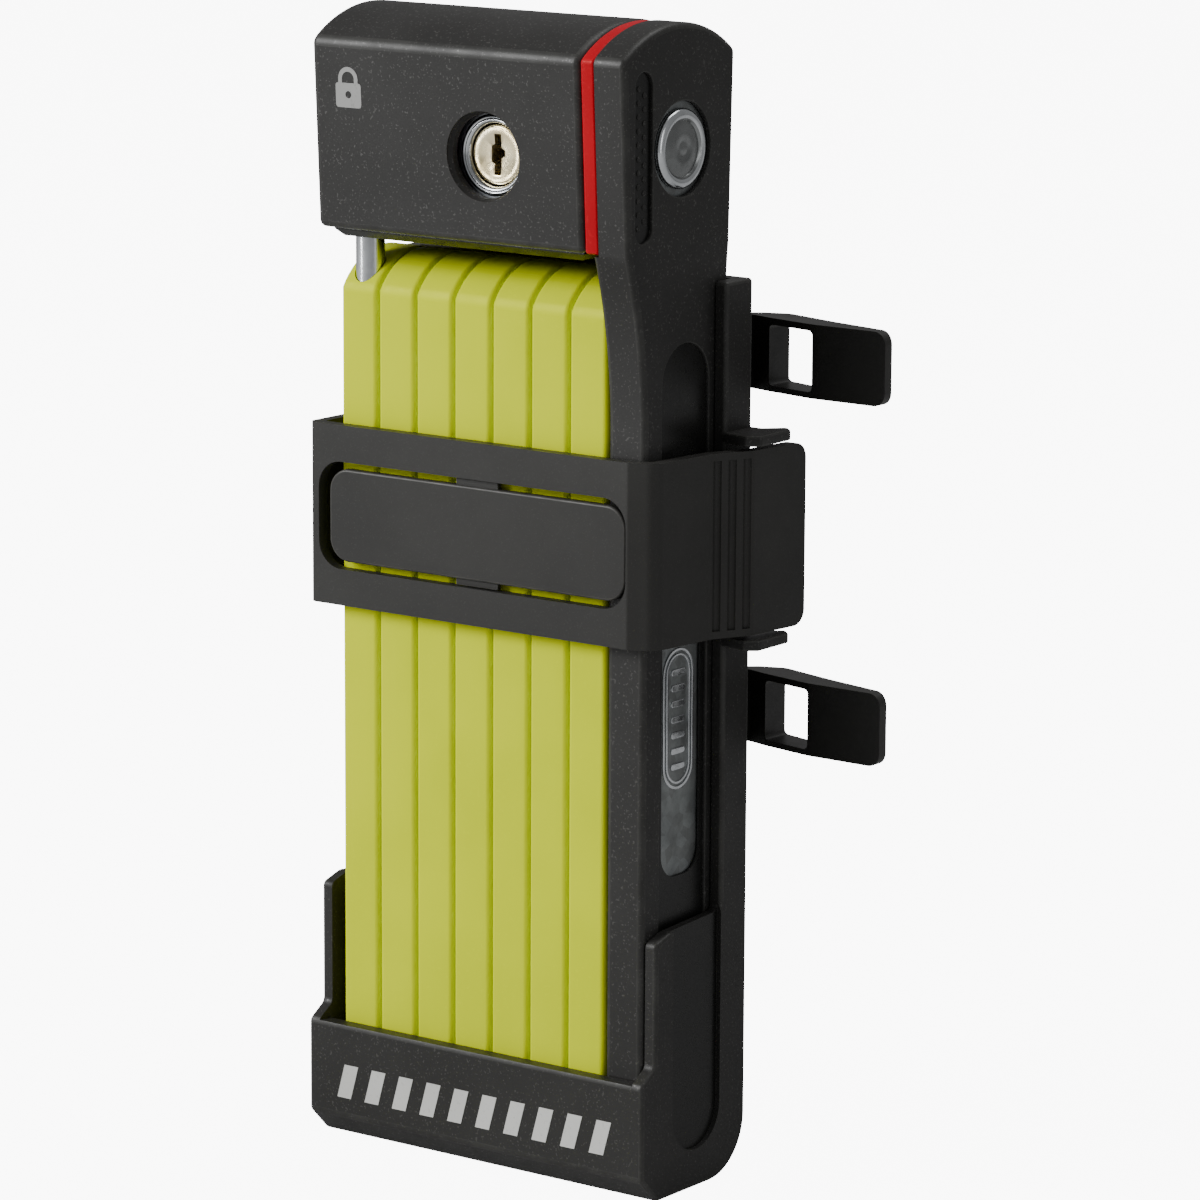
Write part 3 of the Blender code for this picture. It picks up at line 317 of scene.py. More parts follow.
def fillet(points, radii, steps=8):
    """Round the inner corners of an open line."""
    line = [points[0]]
    if not isinstance(radii, (list, tuple)):
        radii = [radii] * (len(points) - 2)
    for before, corner, after, radius in zip(points, points[1:], points[2:],
                                             radii):
        here = Vector(corner)
        back = (Vector(before) - here).normalized()
        ahead = (Vector(after) - here).normalized()
        half = back.angle(ahead) / 2
        reach = radius / math.tan(half)
        middle = here + (back + ahead).normalized() * radius / math.sin(half)
        a = here + back * reach - middle
        b = here + ahead * reach - middle
        turn = a.angle_signed(b)
        first = math.atan2(a.y, a.x)
        for i in range(steps + 1):
            t = first - turn * i / steps
            line.append((middle.x + radius * math.cos(t),
                         middle.y + radius * math.sin(t)))
    line.append(points[-1])
    return line


def offset(points, distance):
    """Copy an open line to its left by a distance, with mitred corners."""
    out = []
    for i, point in enumerate(points):
        here = Vector(point)
        into = here - Vector(points[max(i - 1, 0)])
        onto = Vector(points[min(i + 1, len(points) - 1)]) - here
        into = (into if into.length > 0 else onto).normalized()
        onto = (onto if onto.length > 0 else into).normalized()
        way = (into + onto).normalized()
        normal = Vector((-way.y, way.x))
        out.append(tuple(here + normal * distance / max(way.dot(onto), 0.5)))
    return out


# --- shader groups ----------------------------------------------------------

def add(tree, kind, inputs=None, **settings):
    """Add a node; inputs are values or the sockets that feed them."""
    node = tree.nodes.new(kind)
    for key, value in settings.items():
        setattr(node, key, value)
    for key, value in (inputs or {}).items():
        socket = node.inputs[key]
        if isinstance(value, bpy.types.NodeSocket):
            tree.links.new(value, socket)
        else:
            socket.default_value = value
    return node


def maths(tree, operation, a, b=0.0, clamp=False):
    return add(tree, "ShaderNodeMath", {0: a, 1: b}, operation=operation,
               use_clamp=clamp).outputs[0]


def ramp(tree, value, low, high, to_low=0.0, to_high=1.0):
    return add(tree, "ShaderNodeMapRange",
               {"Value": value, "From Min": low, "From Max": high,
                "To Min": to_low, "To Max": to_high},
               interpolation_type="SMOOTHSTEP").outputs["Result"]


def blend_colour(tree, mask, a, b):
    node = tree.nodes.new("ShaderNodeMix")
    node.data_type = "RGBA"
    for index, value in ((0, mask), (6, a), (7, b)):
        if isinstance(value, bpy.types.NodeSocket):
            tree.links.new(value, node.inputs[index])
        elif index:
            node.inputs[index].default_value = (*value, 1.0)
        else:
            node.inputs[index].default_value = value
    return node.outputs[2]


def shader_group(name, inputs, outputs):
    tree = bpy.data.node_groups.new(name, "ShaderNodeTree")
    for title, kind, value in inputs:
        socket = tree.interface.new_socket(
            title, in_out="INPUT", socket_type="NodeSocket" + kind)
        if value is not None:
            socket.default_value = value
    for title in outputs:
        tree.interface.new_socket(title, in_out="OUTPUT",
                                  socket_type="NodeSocketFloat")
    given = tree.nodes.new("NodeGroupInput").outputs
    result = tree.nodes.new("NodeGroupOutput").inputs
    return tree, given, result


def scaled(tree, vector, scale):
    return add(tree, "ShaderNodeVectorMath", {0: vector, "Scale": scale},
               operation="SCALE").outputs[0]


def noise(tree, vector, detail=2.0, rough=0.5):
    return add(tree, "ShaderNodeTexNoise",
               {"Vector": vector, "Scale": 1.0, "Detail": detail,
                "Roughness": rough}).outputs["Fac"]


def make_moulded_grain():
    """Spark-eroded mould texture: rounded pits with a few bright flecks."""
    tree, given, result = shader_group(
        "moulded_grain", [("Vector", "Vector", None), ("Scale", "Float", 2500.0)],
        ["Height", "Fleck"])
    fine = scaled(tree, given["Vector"], given["Scale"])
    bumps = noise(tree, fine, 3.0, 0.6)
    pits = add(tree, "ShaderNodeTexVoronoi", {"Vector": fine, "Scale": 0.8},
               feature="SMOOTH_F1").outputs["Distance"]
    height = maths(tree, "ADD", maths(tree, "MULTIPLY", bumps, 0.7),
                   maths(tree, "MULTIPLY", pits, 0.45))
    flecks = noise(tree, scaled(tree, fine, 0.55), 1.0, 0.4)
    tree.links.new(height, result["Height"])
    tree.links.new(ramp(tree, flecks, 0.62, 0.74), result["Fleck"])
    return tree


def make_edge_wear_and_sheen():
    """Rubbed places along the rounded edges, lighter in colour: partly rubbing,
    partly a painted highlight where the edges catch the light.
    """
    tree, given, result = shader_group(
        "edge_wear", [("Vector", "Vector", None), ("Scale", "Float", 180.0),
                      ("Amount", "Float", 0.5)], ["Mask"])
    strip = add(tree, "ShaderNodeAttribute", attribute_name="edge").outputs["Fac"]
    patchy = noise(tree, scaled(tree, given["Vector"], given["Scale"]), 4.0, 0.6)
    mask = maths(tree, "MULTIPLY", strip, ramp(tree, patchy, 0.35, 0.65, 0.35))
    tree.links.new(maths(tree, "MULTIPLY", mask, given["Amount"]), result["Mask"])
    return tree


def make_surface_drift():
    """Slow change of tone over a moulding, with faint handling marks."""
    tree, given, result = shader_group(
        "surface_drift", [("Vector", "Vector", None), ("Scale", "Float", 45.0)],
        ["Tone", "Marks"])
    slow = noise(tree, scaled(tree, given["Vector"], given["Scale"]), 2.0, 0.5)
    marks = noise(tree, scaled(tree, given["Vector"], maths(
        tree, "MULTIPLY", given["Scale"], 6.0)), 5.0, 0.65)
    tree.links.new(ramp(tree, slow, 0.3, 0.7), result["Tone"])
    tree.links.new(ramp(tree, marks, 0.4, 0.72), result["Marks"])
    return tree


def make_hair_lines():
    """Fine parallel lines, drawn out along one direction."""
    tree, given, result = shader_group(
        "hair_lines", [("Vector", "Vector", None),
                       ("Stretch", "Vector", (900.0, 900.0, 12.0))], ["Lines"])
    drawn = add(tree, "ShaderNodeVectorMath",
                {0: given["Vector"], 1: given["Stretch"]},
                operation="MULTIPLY").outputs[0]
    tree.links.new(ramp(tree, noise(tree, drawn, 3.0, 0.6), 0.3, 0.7),
                   result["Lines"])
    return tree


GRAIN = make_moulded_grain()
WEAR_AND_SHEEN = make_edge_wear_and_sheen()
DRIFT = make_surface_drift()
HAIR = make_hair_lines()


def use_group(tree, group, inputs):
    return add(tree, "ShaderNodeGroup", inputs, node_tree=group).outputs


def new_material(name):
    mat = bpy.data.materials.new(name)
    mat.use_nodes = True
    tree = mat.node_tree
    shader = tree.nodes["Principled BSDF"]
    place = add(tree, "ShaderNodeTexCoord").outputs["Object"]
    return mat, tree, shader, place


def add_bump(tree, shader, height, depth):
    bump = add(tree, "ShaderNodeBump",
               {"Height": height, "Strength": 1.0, "Distance": depth * MM})
    tree.links.new(bump.outputs["Normal"], shader.inputs["Normal"])


def moulded(name, deep, pale, roughness, grain, relief, fleck, rub_and_sheen,
            rub_and_sheen_amount=0.4, lines=0.0, specular=0.5, tint=(1.0, 1.0, 1.0)):
    """Grained plastic or rubber with slow tone drift and lighter rounded edges:
    partly rubbed, partly a painted highlight.
    """
    mat, tree, shader, place = new_material(name)
    drift = use_group(tree, DRIFT, {"Vector": place})
    rough = use_group(tree, GRAIN, {"Vector": place, "Scale": 1000.0 / grain})
    rubbed_and_lit = use_group(tree, WEAR_AND_SHEEN, {"Vector": place, "Amount": rub_and_sheen_amount})
    drawn = use_group(tree, HAIR, {"Vector": place})
    colour = blend_colour(tree, drift["Tone"], deep, pale)
    if lines:
        colour = blend_colour(tree, maths(tree, "MULTIPLY", drawn["Lines"],
                                          lines), colour, rub_and_sheen)
    colour = blend_colour(tree, maths(tree, "MULTIPLY", rough["Fleck"], 0.5),
                          colour, fleck)
    # Lighter colour on the rounded edges: rubbing plus a painted highlight.
    colour = blend_colour(tree, rubbed_and_lit["Mask"], colour, rub_and_sheen)
    tree.links.new(colour, shader.inputs["Base Color"])
    gloss = maths(tree, "SUBTRACT", roughness,
                  maths(tree, "MULTIPLY", rubbed_and_lit["Mask"], 0.12))
    gloss = maths(tree, "ADD", gloss,
                  maths(tree, "MULTIPLY", drift["Marks"], 0.07))
    gloss = maths(tree, "SUBTRACT", gloss,
                  maths(tree, "MULTIPLY", rough["Fleck"], 0.12), clamp=True)
    tree.links.new(gloss, shader.inputs["Roughness"])
    shader.inputs["Specular IOR Level"].default_value = specular
    shader.inputs["Specular Tint"].default_value = (*tint, 1.0)
    add_bump(tree, shader, rough["Height"], relief)
    return mat


def metal(name, deep, pale, roughness, stretch, relief, stain, spangle=0.0):
    """Plated or turned metal with drawn lines, stains and bright edges: partly
    rubbed, partly a painted highlight.
    """
    mat, tree, shader, place = new_material(name)
    drift = use_group(tree, DRIFT, {"Vector": place, "Scale": 90.0})
    drawn = use_group(tree, HAIR, {"Vector": place, "Stretch": stretch})
    rubbed_and_lit = use_group(tree, WEAR_AND_SHEEN, {"Vector": place, "Amount": 0.6})
    colour = blend_colour(tree, drift["Tone"], deep, pale)
    if spangle:
        flakes = add(tree, "ShaderNodeTexVoronoi",
                     {"Vector": scaled(tree, place, 420.0), "Scale": 1.0})
        grey = add(tree, "ShaderNodeSeparateColor",
                   {"Color": flakes.outputs["Color"]}).outputs[0]
        colour = blend_colour(tree, maths(tree, "MULTIPLY", grey, spangle),
                              colour, stain)
    colour = blend_colour(tree, maths(tree, "MULTIPLY", drift["Marks"], 0.25),
                          colour, stain)
    # Pale colour on the rounded edges: rubbing plus a painted highlight.
    colour = blend_colour(tree, rubbed_and_lit["Mask"], colour, pale)
    tree.links.new(colour, shader.inputs["Base Color"])
    shader.inputs["Metallic"].default_value = 1.0
    gloss = maths(tree, "ADD", roughness,
                  maths(tree, "MULTIPLY", drawn["Lines"], 0.08))
    gloss = maths(tree, "ADD", gloss,
                  maths(tree, "MULTIPLY", drift["Marks"], 0.10), clamp=True)
    tree.links.new(gloss, shader.inputs["Roughness"])
    add_bump(tree, shader, drawn["Lines"], relief)
    return mat


# The last colour of each moulded finish goes on the rounded edges: rubbing plus a
# painted highlight.
LIME = moulded("lime_sleeve", (0.64, 0.73, 0.0005), (0.70, 0.79, 0.0005), 0.42,
               0.4, 0.005, (0.71, 0.80, 0.001), (0.73, 0.82, 0.004), 0.25, 0.06,
               0.2, (1.0, 1.0, 0.1))
BODY_BLACK = moulded("lock_body_black", (0.020, 0.0195, 0.0185),
                     (0.026, 0.0255, 0.0245), 0.46, 0.22, 0.014,
                     (0.105, 0.103, 0.098), (0.060, 0.060, 0.056), 0.5, 0.0, 0.3)
HOLDER_BLACK = moulded("holder_plastic", (0.019, 0.0185, 0.0175),
                       (0.025, 0.0245, 0.0235), 0.46, 0.21, 0.014,
                       (0.095, 0.093, 0.088), (0.060, 0.060, 0.056), 0.5, 0.0,
                       0.3)
STRAP_RUBBER = moulded("strap_elastomer", (0.020, 0.0195, 0.018),
                       (0.026, 0.0255, 0.0235), 0.48, 0.14, 0.006,
                       (0.040, 0.039, 0.036), (0.085, 0.083, 0.076), 0.6, 0.0,
                       0.34)
SADDLE_RUBBER = moulded("saddle_elastomer", (0.012, 0.0115, 0.0105),
                        (0.016, 0.0155, 0.014), 0.42, 0.18, 0.007,
                        (0.026, 0.025, 0.023), (0.060, 0.058, 0.053), 0.5, 0.0,
                        0.4)
# Glossier and darker black for recess floors: the gloss is the finish, the darker
# colour is painted shade.
RECESS_GLOSS_SHADE = moulded("recess_black", (0.007, 0.007, 0.0066),
                      (0.010, 0.0098, 0.0092), 0.30, 0.5, 0.003,
                      (0.012, 0.012, 0.011), (0.03, 0.03, 0.028), 0.4, 0.0, 0.35)
TRIM_RED = moulded("trim_red", (0.42, 0.001, 0.010), (0.50, 0.0015, 0.012),
                   0.42, 0.4, 0.005, (0.56, 0.004, 0.014), (0.66, 0.02, 0.03),
                   0.25, 0.0, 0.2, (1.0, 0.25, 0.2))
STEEL = metal("zinc_steel", (0.42, 0.45, 0.47), (0.62, 0.65, 0.67), 0.26,
              (500.0, 500.0, 20.0), 0.003, (0.28, 0.30, 0.32), 0.35)
PLATE_STEEL = metal("plate_steel", (0.20, 0.215, 0.22), (0.34, 0.36, 0.36), 0.34,
                    (420.0, 420.0, 60.0), 0.006, (0.12, 0.12, 0.115), 0.5)
BRIGHT_STEEL = metal("bright_steel", (0.52, 0.54, 0.56), (0.74, 0.76, 0.78),
                     0.14, (700.0, 700.0, 40.0), 0.002, (0.30, 0.31, 0.31))
# A darker copy of the bright steel for the rivet's dish: painted shade in the
# hollow.
DISH_SHADE_STEEL = metal("dished_steel", (0.16, 0.165, 0.165), (0.30, 0.31, 0.31),
                   0.22, (700.0, 700.0, 40.0), 0.004, (0.08, 0.08, 0.08))
SHADE_STEEL = metal("shaded_steel", (0.035, 0.036, 0.034), (0.07, 0.072, 0.068),
                    0.18, (30.0, 700.0, 700.0), 0.002, (0.02, 0.02, 0.02), 0.3)
BRASS = metal("polished_brass", (0.86, 0.70, 0.36), (0.98, 0.88, 0.60), 0.20,
              (300.0, 900.0, 300.0), 0.0015, (0.55, 0.40, 0.18))
PRINT_PALE = moulded("print_pale", (0.60, 0.60, 0.58), (0.66, 0.66, 0.64), 0.55,
                     0.3, 0.005, (0.50, 0.50, 0.48), (0.70, 0.70, 0.68))
PRINT_GREY = moulded("print_grey", (0.30, 0.30, 0.29), (0.35, 0.35, 0.34), 0.55,
                     0.3, 0.005, (0.22, 0.22, 0.21), (0.40, 0.40, 0.39))


# --- finishing a piece ------------------------------------------------------

def finish(obj, name, mat, body, replaced=(), angle=34.0):
    """Smooth shading, finish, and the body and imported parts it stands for."""
    obj.name = name
    obj.data.name = name
    obj.data.materials.clear()
    obj.data.materials.append(mat)
    for face in obj.data.polygons:
        face.use_smooth = True
    obj.data.set_sharp_from_angle(angle=math.radians(angle))
    level = obj.modifiers.new("level", "WEIGHTED_NORMAL")
    level.keep_sharp = True
    graph = bpy.context.evaluated_depsgraph_get()
    graph.update()
    mesh = bpy.data.meshes.new_from_object(obj.evaluated_get(graph))
    obj.modifiers.clear()
    obj.data = mesh
    mesh.name = name
    if body:
        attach(obj, body)
    if replaced:
        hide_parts(*replaced)
    return obj


def coat_painted_shade(obj, mat, test):
    """Give the faces that pass the test a darker finish of their own, which paints
    shade on them.
    """
    obj.data.materials.append(mat)
    for face in obj.data.polygons:
        if test(face.center / MM, face.normal):
            face.material_index = len(obj.data.materials) - 1


# --- rows of repeated details ----------------------------------------------

def make_row_tree():
    """Copies of one detail on a straight row, every second one shifted."""
    tree = bpy.data.node_groups.new("detail_row", "GeometryNodeTree")
    put = tree.interface.new_socket
    put("Geometry", in_out="INPUT", socket_type="NodeSocketGeometry")
    for title, kind in (("Detail", "Object"), ("Count", "Int"),
                        ("Start", "Vector"), ("Step", "Vector"),
                        ("Second Shift", "Vector"), ("Finish", "Material")):
        put(title, in_out="INPUT", socket_type="NodeSocket" + kind)
    put("Geometry", in_out="OUTPUT", socket_type="NodeSocketGeometry")
    given = tree.nodes.new("NodeGroupInput").outputs
    result = tree.nodes.new("NodeGroupOutput").inputs
    row = add(tree, "GeometryNodeMeshLine",
              {"Count": given["Count"], "Start Location": given["Start"],
               "Offset": given["Step"]}, mode="OFFSET")
    index = add(tree, "GeometryNodeInputIndex").outputs[0]
    odd = add(tree, "ShaderNodeMath", {0: index, 1: 2.0}, operation="MODULO")
    shift = add(tree, "ShaderNodeVectorMath",
                {0: given["Second Shift"], "Scale": odd.outputs[0]},
                operation="SCALE")
    moved = add(tree, "GeometryNodeSetPosition",
                {"Geometry": row.outputs["Mesh"], "Offset": shift.outputs[0]})
    detail = add(tree, "GeometryNodeObjectInfo", {"Object": given["Detail"]})
    copies = add(tree, "GeometryNodeInstanceOnPoints",
                 {"Points": moved.outputs[0],
                  "Instance": detail.outputs["Geometry"]})
    real = add(tree, "GeometryNodeRealizeInstances",
               {"Geometry": copies.outputs[0]})
    done = add(tree, "GeometryNodeSetMaterial",
               {"Geometry": real.outputs[0], "Material": given["Finish"]})
    tree.links.new(done.outputs[0], result["Geometry"])
    return tree


ROW_TREE = make_row_tree()


def row_of(detail, count, start, step, mat, shift=(0, 0, 0)):
    """Repeat a detail and return the row as a plain mesh object."""
    host = add_mesh(detail.name + "_row", bpy.data.meshes.new("row"))
    nodes = host.modifiers.new("row", "NODES")
    nodes.node_group = ROW_TREE
    values = {"Detail": detail, "Count": count, "Finish": mat,
              "Start": [v * MM for v in start], "Step": [v * MM for v in step],
              "Second Shift": [v * MM for v in shift]}
    for item in ROW_TREE.interface.items_tree:
        if item.in_out == "INPUT" and item.name in values:
            nodes[item.identifier] = values[item.name]
    host = bake(host)
    bpy.data.objects.remove(detail, do_unlink=True)
    return host


# --- bars -------------------------------------------------------------------

def bar_outline(inset):
    """Side view of a bar: straight edges and an arc across each end."""
    half = HALF_DEPTH - inset
    radius = END_RADIUS - inset
    spread = math.degrees(math.asin(half / radius))
    upper = arc((0, TIP_HIGH - inset - radius), radius, 90 - spread, 90 + spread)
    lower = arc((0, TIP_LOW + inset + radius), radius, 270 - spread, 270 + spread)
    return upper + lower


def plate_face(index, side):
    """X of the left or right face of a steel plate; the link comes last."""
    if index == BAR_COUNT:
        return LINK_CORE_X0 if side == "left" else LINK_CORE_X1
    left = CORE_LOW[0] + index * BAR_PITCH
    return left if side == "left" else left + CORE_THICK


def rivet_places():
    """Each fold rivet as (left plate, right plate, height)."""
    return [(right - 1, right,
             PIVOT_LOW if (BAR_COUNT - right) % 2 == 0 else PIVOT_HIGH)
            for right in range(BAR_COUNT, 0, -1)]


def build_sleeves():
    for index in range(BAR_COUNT):
        left = STACK_X + index * BAR_PITCH
        sleeve = prism("sleeve", bar_outline(0), left, left + BAR_THICK, "X")
        sleeve = ease(sleeve, BAR_EDGE, 3, 28)
        start = plate_face(index, "left") - CLOSE_FIT
        end = plate_face(index, "right") + CLOSE_FIT
        tools = [prism("pocket", bar_outline(CORE_INSET), start, end, "X")]
        head = RIVET_HEAD_RADIUS + CLOSE_FIT
        for first, second, height in rivet_places():
            if index == first:
                tools += [rod("bore", RIVET_RADIUS + CLOSE_FIT, (0, 0, height),
                              start, left + BAR_PITCH, "X"),
                          rod("head", head, (0, 0, height), left - 1,
                              start + 2 * CLOSE_FIT, "X")]
            elif index == second:
                tools += [rod("bore", RIVET_RADIUS + CLOSE_FIT, (0, 0, height),
                              left - 1, end, "X"),
                          rod("head", head, (0, 0, height),
                              end - 2 * CLOSE_FIT, left + BAR_PITCH, "X")]
        if index == 0:
            tools.append(rod("pin_bore", PIN_RADIUS + CLOSE_FIT,
                             (PIN_X, PIN_Y, 0), PIVOT_HIGH, BODY_Z, "Z"))
        finish(cut(sleeve, *tools), "sleeve_of_bar_%d" % (index + 1), LIME,
               "lock", ["bar_%d_sleeve" % (index + 1)])


def build_rivets():
    """The six rivets between the bars; they stand high and low in turn."""
    x0 = CORE_LOW[0] - CLOSE_FIT / 2
    x1 = x0 + BAR_PITCH + CORE_THICK + CLOSE_FIT
    h, r = RIVET_HEAD_HEIGHT, RIVET_HEAD_RADIUS
    profile = [(0, x1 + h), (r * 0.7, x1 + h), (r * 0.9, x1 + h * 0.8),
               (r, x1 + h * 0.3), (r, x1), (RIVET_RADIUS, x1),
               (RIVET_RADIUS, x0), (r, x0), (r, x0 - h * 0.3),
               (r * 0.9, x0 - h * 0.8), (r * 0.7, x0 - h), (0, x0 - h)]
    first = PIVOT_LOW if BAR_COUNT % 2 == 1 else PIVOT_HIGH
    rivet = lathe("fold_rivet", profile, (0, 0, first), "X", 40)
    other = PIVOT_HIGH if first == PIVOT_LOW else PIVOT_LOW
    row = row_of(rivet, BAR_COUNT - 1, (0, 0, 0), (BAR_PITCH, 0, 0), STEEL,
                 (0, 0, other - first))
    finish(row, "fold_rivets", STEEL, "lock",
           ["fold_rivet_%d" % n for n in range(2, BAR_COUNT + 1)])


def build_pin():
    seat = TIP_HIGH - CORE_INSET - 4.0
    top = PIN_HIGH[2]
    half = 2.7
    r = PIN_RADIUS
    profile = [(0, top), (r - 0.9, top), (r - 0.3, top - 0.5), (r, top - 1.2),
               (r, KEY_Z + half), (1.0, KEY_Z + half), (1.0, KEY_Z - half),
               (r, KEY_Z - half), (r, seat), (1.4, seat), (1.4, seat - 7),
               (0, seat - 7)]
    pin = lathe("pin", profile, (PIN_X, PIN_Y, 0), "Z")
    finish(pin, "steel_locking_pin", BRIGHT_STEEL, "lock",
           ["locking_pin"])


# --- black link with its head -----------------------------------------------

def head_outline(inset, low):
    """Side view of the lock body: two leaning faces under a domed top."""
    front = (-FRONT_TOP + inset, BODY_TOP - inset)
    rear = (REAR_TOP - inset, BODY_TOP - inset)
    return ([(-FRONT_LOW + inset, low)] + bow(front, rear, DOME_HEIGHT, 28)
            + [(REAR_LOW - inset, low)])


def link_outline(inset):
    """Side view of the link: the head, a tapering neck and the long leg."""
    neck_low = BODY_Z - 29.0
    front, rear = [], []
    for i in range(ARC + 1):
        t = i / ARC
        height = neck_low + (BODY_Z - neck_low) * t
        front.append((-HALF_DEPTH - (FRONT_LOW - HALF_DEPTH) * t ** 2 + inset,
                      height))
        rear.append((HALF_DEPTH + (REAR_LOW - HALF_DEPTH) * t ** 3 - inset,
                     height))
    dome = bow((-FRONT_TOP + inset, BODY_TOP - inset),
               (REAR_TOP - inset, BODY_TOP - inset), DOME_HEIGHT, 28)
    half = HALF_DEPTH - inset
    radius = END_RADIUS - inset
    spread = math.degrees(math.asin(half / radius))
    foot = arc((0, TIP_LOW + inset + radius), radius, 270 + spread, 270 - spread)
    return front + dome + rear[::-1] + foot


def head_bore(radius, start, end):
    return rod("bore", radius, (0, HEAD_RIVET_BACK, HEAD_RIVET_Z), start, end, "X")


GROOVE_Y = -FRONT_TOP + 5.5
GROOVE_LOW, GROOVE_HIGH = BODY_Z + 1.9, BODY_Z + 28.9
PANEL_TOP = PIVOT_HIGH


def build_link():
    cover = prism("cover", link_outline(0), LEG_X0, LINK_X1, "X")
    cover = ease(cover, 1.0, 4, 28)
    far = 50.0
    step = block("step", (LEG_X0 - 1, -far, BODY_Z - FIT),
                 (HEAD_X0, far, BODY_Z + far))
    pocket = prism("pocket", link_outline(CORE_INSET),
                   LINK_CORE_X0 - CLOSE_FIT, LINK_CORE_X1 + CLOSE_FIT, "X")
    panel = prism("panel", slot_outline(0, 12.6, 8.0, PANEL_TOP),
                  LINK_X1 - 0.5, LINK_X1 + 1, "X")
    window = prism("window", rounded_rect(-5.2, 5.2, 52.5, 108.0, 4.0),
                   LINK_CORE_X1, LINK_X1 + 1, "X")
    groove = prism("groove", slot_outline(GROOVE_Y, 4.6, GROOVE_LOW, GROOVE_HIGH),
                   LINK_X1 - 0.6, LINK_X1 + 1, "X")
    cover = cut(cover, step, panel, groove,
                head_bore(HEAD_RIVET_RECESS, LINK_CORE_X1 - 0.05, LINK_X1 + 1))
    cover = ease(cover, 0.25, 2, 40,
                 lambda e: min(v.co.x for v in e.verts) > (LINK_X1 - 0.1) * MM)
    cover = cut(cover, pocket, window,
                head_bore(HEAD_RIVET_RADIUS + CLOSE_FIT, LEG_X0 - 1,
                          LINK_CORE_X0 + 1),
                rod("lower", RIVET_RADIUS + CLOSE_FIT, (0, 0, PIVOT_LOW),
                    LEG_X0 - 1, LINK_CORE_X0 + 1, "X"),
                rod("heads", RIVET_HEAD_RADIUS + CLOSE_FIT, (0, 0, PIVOT_LOW),
                    LINK_CORE_X1 - CLOSE_FIT, LINK_X1 + 1, "X"))
    cover = finish(cover, "link_shell", BODY_BLACK, "lock",
                   ["link_cover"])
    # Recess floors in the link take the darker black: painted shade.
    coat_painted_shade(cover, RECESS_GLOSS_SHADE, lambda at, way: way.x > 0.9 and (
        at.x < LINK_X1 - 0.3 and at.x > LINK_CORE_X1 + 0.1))


def build_head_rivet():
    """Turned rivet: dished middle, raised rim and a flat collar."""
    face = LINK_CORE_X1 + CLOSE_FIT
    deep = span("head_rivet")[0][0]
    r = HEAD_RIVET_CAP
    profile = [(0, face + 0.95), (r * 0.12, face + 0.97), (r * 0.18, face + 0.80),
               (r * 0.24, face + 0.98), (r * 0.45, face + 0.88),
               (r * 0.62, face + 0.66), (r * 0.70, face + 0.55),
               (r * 0.76, face + 0.90), (r * 0.82, face + 1.04),
               (r * 0.90, face + 1.0), (r * 0.96, face + 0.78),
               (r, face + 0.50), (r, face), (HEAD_RIVET_RADIUS, face),
               (HEAD_RIVET_RADIUS, deep), (0, deep)]
    rivet = lathe("rivet", profile, (0, HEAD_RIVET_BACK, HEAD_RIVET_Z), "X", 72)
    rivet = finish(rivet, "turned_head_rivet", BRIGHT_STEEL, "lock",
                   ["head_rivet"], 50)
    # The dish takes the darker steel: painted shade in the hollow.
    coat_painted_shade(rivet, DISH_SHADE_STEEL, lambda at, way: math.hypot(
        at.y - HEAD_RIVET_BACK, at.z - HEAD_RIVET_Z) < r * 0.73)


# --- lock body --------------------------------------------------------------

def build_body():
    shell = prism("shell", head_outline(0, BODY_Z), BODY_X0, BODY_X1, "X")
    shell = ease(shell, 1.3, 5, 28)
    inner = [(-FRONT_LOW + BODY_WALL, BODY_Z - 1),
             (-FRONT_TOP + BODY_WALL, BODY_TOP - BODY_WALL),
             (REAR_TOP - BODY_WALL, BODY_TOP - BODY_WALL),
             (REAR_LOW - BODY_WALL, BODY_Z - 1)]
    cavity = prism("cavity", inner, BODY_X0 + BODY_END_WALL,
                   BODY_X1 - BODY_END_WALL, "X")
    far = 40.0
    flare = lathe("flare", [(0, far), (CYLINDER_RADIUS + FIT + 0.5, far),
                            (CYLINDER_RADIUS + FIT + 0.5, 16.0),
                            (CYLINDER_RADIUS + FIT, 15.3),
                            (CYLINDER_RADIUS + FIT, 8.0), (0, 8.0)],
                  (KEY_X, 0, KEY_Z), "Y")
    shell = cut(shell, cavity, flare,
                head_bore(HEAD_RIVET_RADIUS + CLOSE_FIT, BODY_X1 - BODY_WALL - 1,
                          BODY_X1 + 1))
    finish(shell, "lock_body_shell", BODY_BLACK, "lock",
           ["body_housing"])
    trim = prism("trim", head_outline(0.15, BODY_Z), TRIM_X0, TRIM_X1, "X")
    trim = ease(trim, 0.5, 3, 28)
    trim = cut(trim, head_bore(HEAD_RIVET_RADIUS + CLOSE_FIT, TRIM_X0 - 1,
                               TRIM_X1 + 1))
    finish(trim, "red_trim_ring", TRIM_RED, "lock", ["body_trim"])


